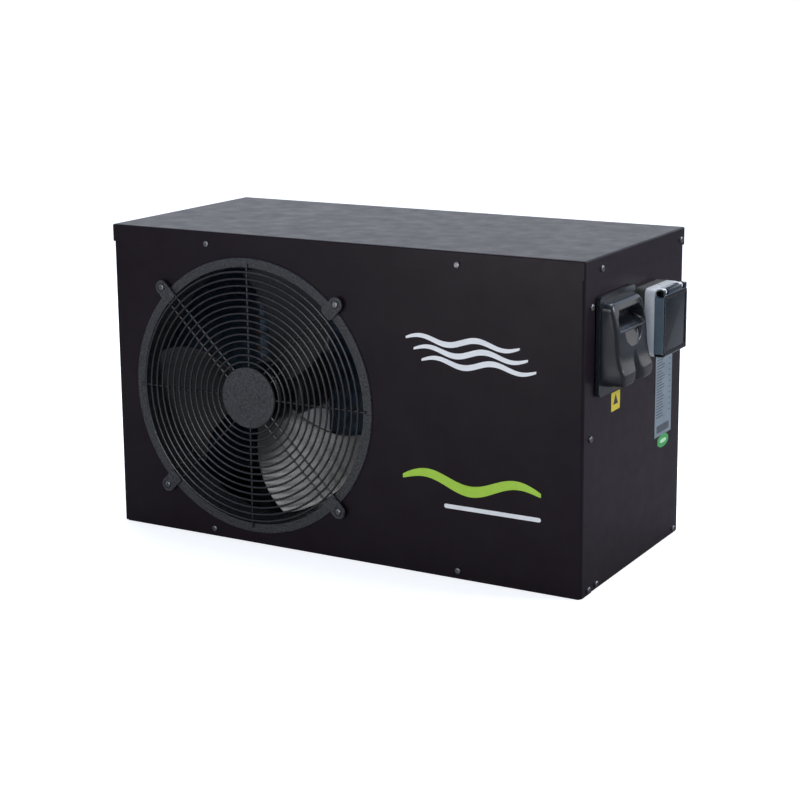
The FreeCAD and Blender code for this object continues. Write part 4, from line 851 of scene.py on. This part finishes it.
# printed marks: plain symbols with no lettering
markValues = {
    "proud": 0.15,
    "sunk": 0.1,
    "triple": {"left": 114.0, "right": 308.0, "low": 291.0, "high": 336.0, "swing": 4.6, "waves": 2.0,
               "thick": 8.0, "shift": 12.0},
    "green": {"left": 108.0, "right": 316.0, "middle": 134.5, "swing": 9.0, "waves": 1.5, "thick": 15.0},
    "line": {"left": 172.0, "right": 316.0, "low": 98.0, "high": 104.0, "corner": 2.8, "deep": 0.2},
}


def ribbon(left, right, middle, swing, waves, thick, y):
    # a wavy band that tapers to its ends, on the front panel
    bm = bmesh.new()
    bmesh.ops.create_grid(bm, x_segments=96, y_segments=1, size=0.5)
    for vert in bm.verts:
        s = vert.co.x + 0.5
        width = thick * (0.35 + 0.65 * math.sin(math.pi * s) ** 0.6)
        z = middle + swing * math.sin(math.tau * waves * s) + vert.co.y * width
        vert.co = (left + (right - left) * s, y, z)
    return bm


def thicken(bm, depth):
    # gives a flat band a back and sides, behind its face
    pulled = bmesh.ops.extrude_face_region(bm, geom=bm.faces[:])["geom"]
    moved = [v for v in pulled if isinstance(v, bmesh.types.BMVert)]
    bmesh.ops.translate(bm, vec=(0, depth, 0), verts=moved)


def makeMarks():
    frontY = boxOf("front_panel")[0].y - markValues["proud"]
    depth = markValues["proud"] + markValues["sunk"]
    m = markValues["triple"]
    bm = bmesh.new()
    for row in range(3):
        middle = m["low"] + (m["high"] - m["low"]) * (0.18 + 0.32 * row)
        left, right = m["left"] + m["shift"] * (2 - row), m["right"] - m["shift"] * row
        addTo(bm, ribbon(left, right, middle, m["swing"], m["waves"], m["thick"], frontY))
    thicken(bm, depth)
    newObject("waveMark", bm, "markWhite")
    m = markValues["green"]
    bm = ribbon(m["left"], m["right"], m["middle"], m["swing"], m["waves"], m["thick"], frontY)
    thicken(bm, depth)
    newObject("greenMark", bm, "markGreen")
    m = markValues["line"]
    bm = roundedBlock((m["left"], frontY, m["low"]), (m["right"], frontY + m["deep"], m["high"]),
                      1, m["corner"], 0.01)
    newObject("lineMark", bm, "markWhite")


# the rating plate's bars, the warning label and the round sticker
labelValues = {
    "inkBase": -0.2,
    "inkFace": 0.08,
    "rows": 24,
    "rowSpan": 34.0,
    "rowThick": 1.2,
    "codeBars": 26,
    "codePitch": 1.8,
    "warning": ((-78.0, 234.0), (-49.0, 259.5)),
    "warningThick": 0.3,
    "signRadius": 9.0,
    "sticker": (109.0, 152.0),
    "stickerStretch": 2.2,
    "stickerThick": 0.5,
    "leafRadius": 6.0,
    "leafStretch": (2.0, 0.5),
}


def makePlateBars():
    v = labelValues
    low, high = boxOf("rating_plate")
    back, front = high.x + v["inkBase"], high.x + v["inkFace"]
    bars = bmesh.new()
    usable = high.z - low.z - v["rowSpan"]
    for row in range(v["rows"]):
        z = high.z - 9.0 - usable * row / v["rows"]
        under = z - v["rowThick"]
        length = 13.0 + 9.0 * abs(math.sin(row * 2.3)) + 8.0 * abs(math.sin(row * 0.9))
        addTo(bars, block((back, low.y + 5.0, under), (front, low.y + 5.0 + length, z)))
        if row % 2 == 0:
            addTo(bars, block((back, high.y - 11.0, under), (front, high.y - 5.5, z)))
    for i in range(v["codeBars"]):
        wide = 0.5 + 0.7 * abs(math.sin(i * 1.7))
        y = low.y + 7.0 + i * v["codePitch"]
        addTo(bars, block((back, y, low.z + 5.0), (front, y + wide, low.z + 16.0)))
    newObject("plateBars", bars, "markInk")


def makeLabels():
    v = labelValues
    side = boxOf("side_labels")[0].x
    (y0, z0), (y1, z1) = v["warning"]
    face = side + v["warningThick"]
    label = newObject("cautionLabel", roundedBlock((side, y0, z0), (face, y1, z1), 0, 1.0, 0.1, 3),
                      "label_yellow")
    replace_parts(label, "side_labels")
    outline = ((0.01, 0), (v["signRadius"], 0), (v["signRadius"], 0.16), (0.01, 0.16))
    sign = turnedShape(outline, (face, (y0 + y1) / 2, (z0 + z1) / 2 + 0.25), (1, 0, 0), 3)
    newObject("cautionSign", sign, "markInk")
    y, z = v["sticker"]
    thick = v["stickerThick"]
    outline = ((0.01, 0), (9.3, 0), (9.5, 0.2), (9.3, thick), (0.01, thick))
    disc = turnedShape(outline, (side, 0, 0), (1, 0, 0), 48)
    bmesh.ops.scale(disc, vec=(1.0, v["stickerStretch"], 1.0), verts=disc.verts)
    bmesh.ops.translate(disc, vec=(0, y, z), verts=disc.verts)
    newObject("roundSticker", disc, "stickerGreen")
    outline = ((0.01, 0), (v["leafRadius"], 0), (v["leafRadius"], 0.12), (0.01, 0.12))
    leaf = turnedShape(outline, (side + thick, 0, 0), (1, 0, 0), 32)
    bmesh.ops.scale(leaf, vec=(1.0, *v["leafStretch"]), verts=leaf.verts)
    bmesh.ops.translate(leaf, vec=(0, y, z), verts=leaf.verts)
    newObject("stickerLeaf", leaf, "stickerPale")


makeMarks()
makePlateBars()
makeLabels()
print("marks done")


# the floor, the lights and the camera
stageValues = {
    "floorSize": 60.0,
    "floorColour": (0.86, 0.86, 0.86),
    "floorLift": 0.7,
    "floorMirror": (0.27, 0.255, 0.255),
    "floorRough": 0.9,
    "floorSpecular": 0.1,
    "worldBack": 1.0,
    "worldFront": 0.25,
    "horizonTint": (1.0, 1.0, 1.0),
    "zenithTint": (0.55, 0.71, 1.0),
}
cameraValues = {
    "place": (1.30795, -2.26385, 0.82542),
    "yaw": 29.875,
    "pitch": -11.63,
    "roll": 0.483,
    "lens": 82.53,
    "shift": -0.08,
    "reach": 50.0,
}
lightValues = {
    "overhead": dict(place=(-0.2, 0.8, 2.6), aim=(0.0, 0.0, 0.3), size=(2.4, 1.6), power=40.0),
    "backRight": dict(place=(2.6, 1.0, 1.7), aim=(0.2, 0.0, 0.25), size=(1.0, 1.2), power=31.0),
    "frontHigh": dict(place=(0.6, -2.75, 1.5), aim=(-0.14, -0.14, 0.22), size=(1.2, 0.9), power=11.0),
    "frontLow": dict(place=(-0.55, -2.6, 0.36), aim=(-0.1, -0.14, 0.14), size=(1.2, 0.6), power=12.0),
}


def makeFloor():
    bm = bmesh.new()
    half = stageValues["floorSize"] / 2
    bmesh.ops.create_grid(bm, x_segments=1, y_segments=1, size=half)
    mesh = bpy.data.meshes.new("studioFloor")
    bm.to_mesh(mesh)
    bm.free()
    floor = bpy.data.objects.new("studioFloor", mesh)
    bpy.context.scene.collection.objects.link(floor)
    material = bpy.data.materials.new("studioFloor")
    material.use_nodes = True
    tree = material.node_tree
    shader = tree.nodes["Principled BSDF"]
    shader.inputs["Roughness"].default_value = stageValues["floorRough"]
    shader.inputs["Specular IOR Level"].default_value = stageValues["floorSpecular"]
    # darker in reflections, so that the paint stays black, and lifted to white for the camera
    seen = addNode(tree, "ShaderNodeLightPath")
    colour = mixColour(tree, seen.outputs["Is Glossy Ray"], stageValues["floorColour"],
                       stageValues["floorMirror"])
    join(tree, colour, shader.inputs["Base Color"])
    lift = mathNode(tree, "MULTIPLY", seen.outputs["Is Camera Ray"], stageValues["floorLift"])
    shader.inputs["Emission Color"].default_value = (1.0, 1.0, 1.0, 1.0)
    join(tree, lift, shader.inputs["Emission Strength"])
    mesh.materials.append(material)


def makeWorld():
    # light behind the object, darker in front of it, bluish overhead and plain white to the camera
    world = bpy.data.worlds.new("studio")
    bpy.context.scene.world = world
    world.use_nodes = True
    tree = world.node_tree
    background = tree.nodes["Background"]
    place = addNode(tree, "ShaderNodeTexCoord")
    parts = addNode(tree, "ShaderNodeSeparateXYZ")
    fade = addNode(tree, "ShaderNodeMapRange", {"From Min": -0.6, "From Max": 0.5})
    fade.inputs["To Min"].default_value = stageValues["worldFront"]
    fade.inputs["To Max"].default_value = stageValues["worldBack"]
    join(tree, place.outputs["Generated"], parts.inputs["Vector"])
    join(tree, parts.outputs["Y"], fade.inputs["Value"])
    seen = addNode(tree, "ShaderNodeLightPath")
    pick = addNode(tree, "ShaderNodeMix")
    join(tree, seen.outputs["Is Camera Ray"], pick.inputs["Factor"])
    join(tree, fade.outputs["Result"], pick.inputs[2])
    pick.inputs[3].default_value = 1.0
    height = addNode(tree, "ShaderNodeMapRange", {"From Min": 0.05, "From Max": 0.6})
    join(tree, parts.outputs["Z"], height.inputs["Value"])
    sky = mixColour(tree, height.outputs["Result"], stageValues["horizonTint"], stageValues["zenithTint"])
    plain = mixColour(tree, seen.outputs["Is Camera Ray"], sky, (1.0, 1.0, 1.0))
    join(tree, plain, background.inputs["Color"])
    join(tree, pick.outputs[0], background.inputs["Strength"])


def makeLight(name, place, aim, size, power):
    light = bpy.data.lights.new(name, "AREA")
    light.shape = "RECTANGLE"
    light.size = size[0]
    light.size_y = size[1]
    light.energy = power
    lamp = bpy.data.objects.new(name, light)
    bpy.context.scene.collection.objects.link(lamp)
    lamp.location = place
    lamp.rotation_euler = (Vector(aim) - Vector(place)).to_track_quat("-Z", "Y").to_euler()


def makeCamera():
    camera = bpy.data.cameras.new("camera")
    camera.lens = cameraValues["lens"]
    camera.shift_y = cameraValues["shift"]
    camera.clip_end = cameraValues["reach"]
    holder = bpy.data.objects.new("camera", camera)
    bpy.context.scene.collection.objects.link(holder)
    yaw = Matrix.Rotation(math.radians(cameraValues["yaw"]), 4, "Z")
    pitch = Matrix.Rotation(math.radians(cameraValues["pitch"]), 4, "X")
    roll = Matrix.Rotation(math.radians(cameraValues["roll"]), 4, "Y")
    upright = Matrix.Rotation(math.radians(90), 4, "X")
    holder.matrix_world = Matrix.Translation(cameraValues["place"]) @ yaw @ pitch @ roll @ upright
    bpy.context.scene.camera = holder


makeFloor()
makeWorld()
for lightName, values in lightValues.items():
    makeLight(lightName, **values)
makeCamera()
bpy.context.scene.view_settings.view_transform = "Standard"
print("studio ready")
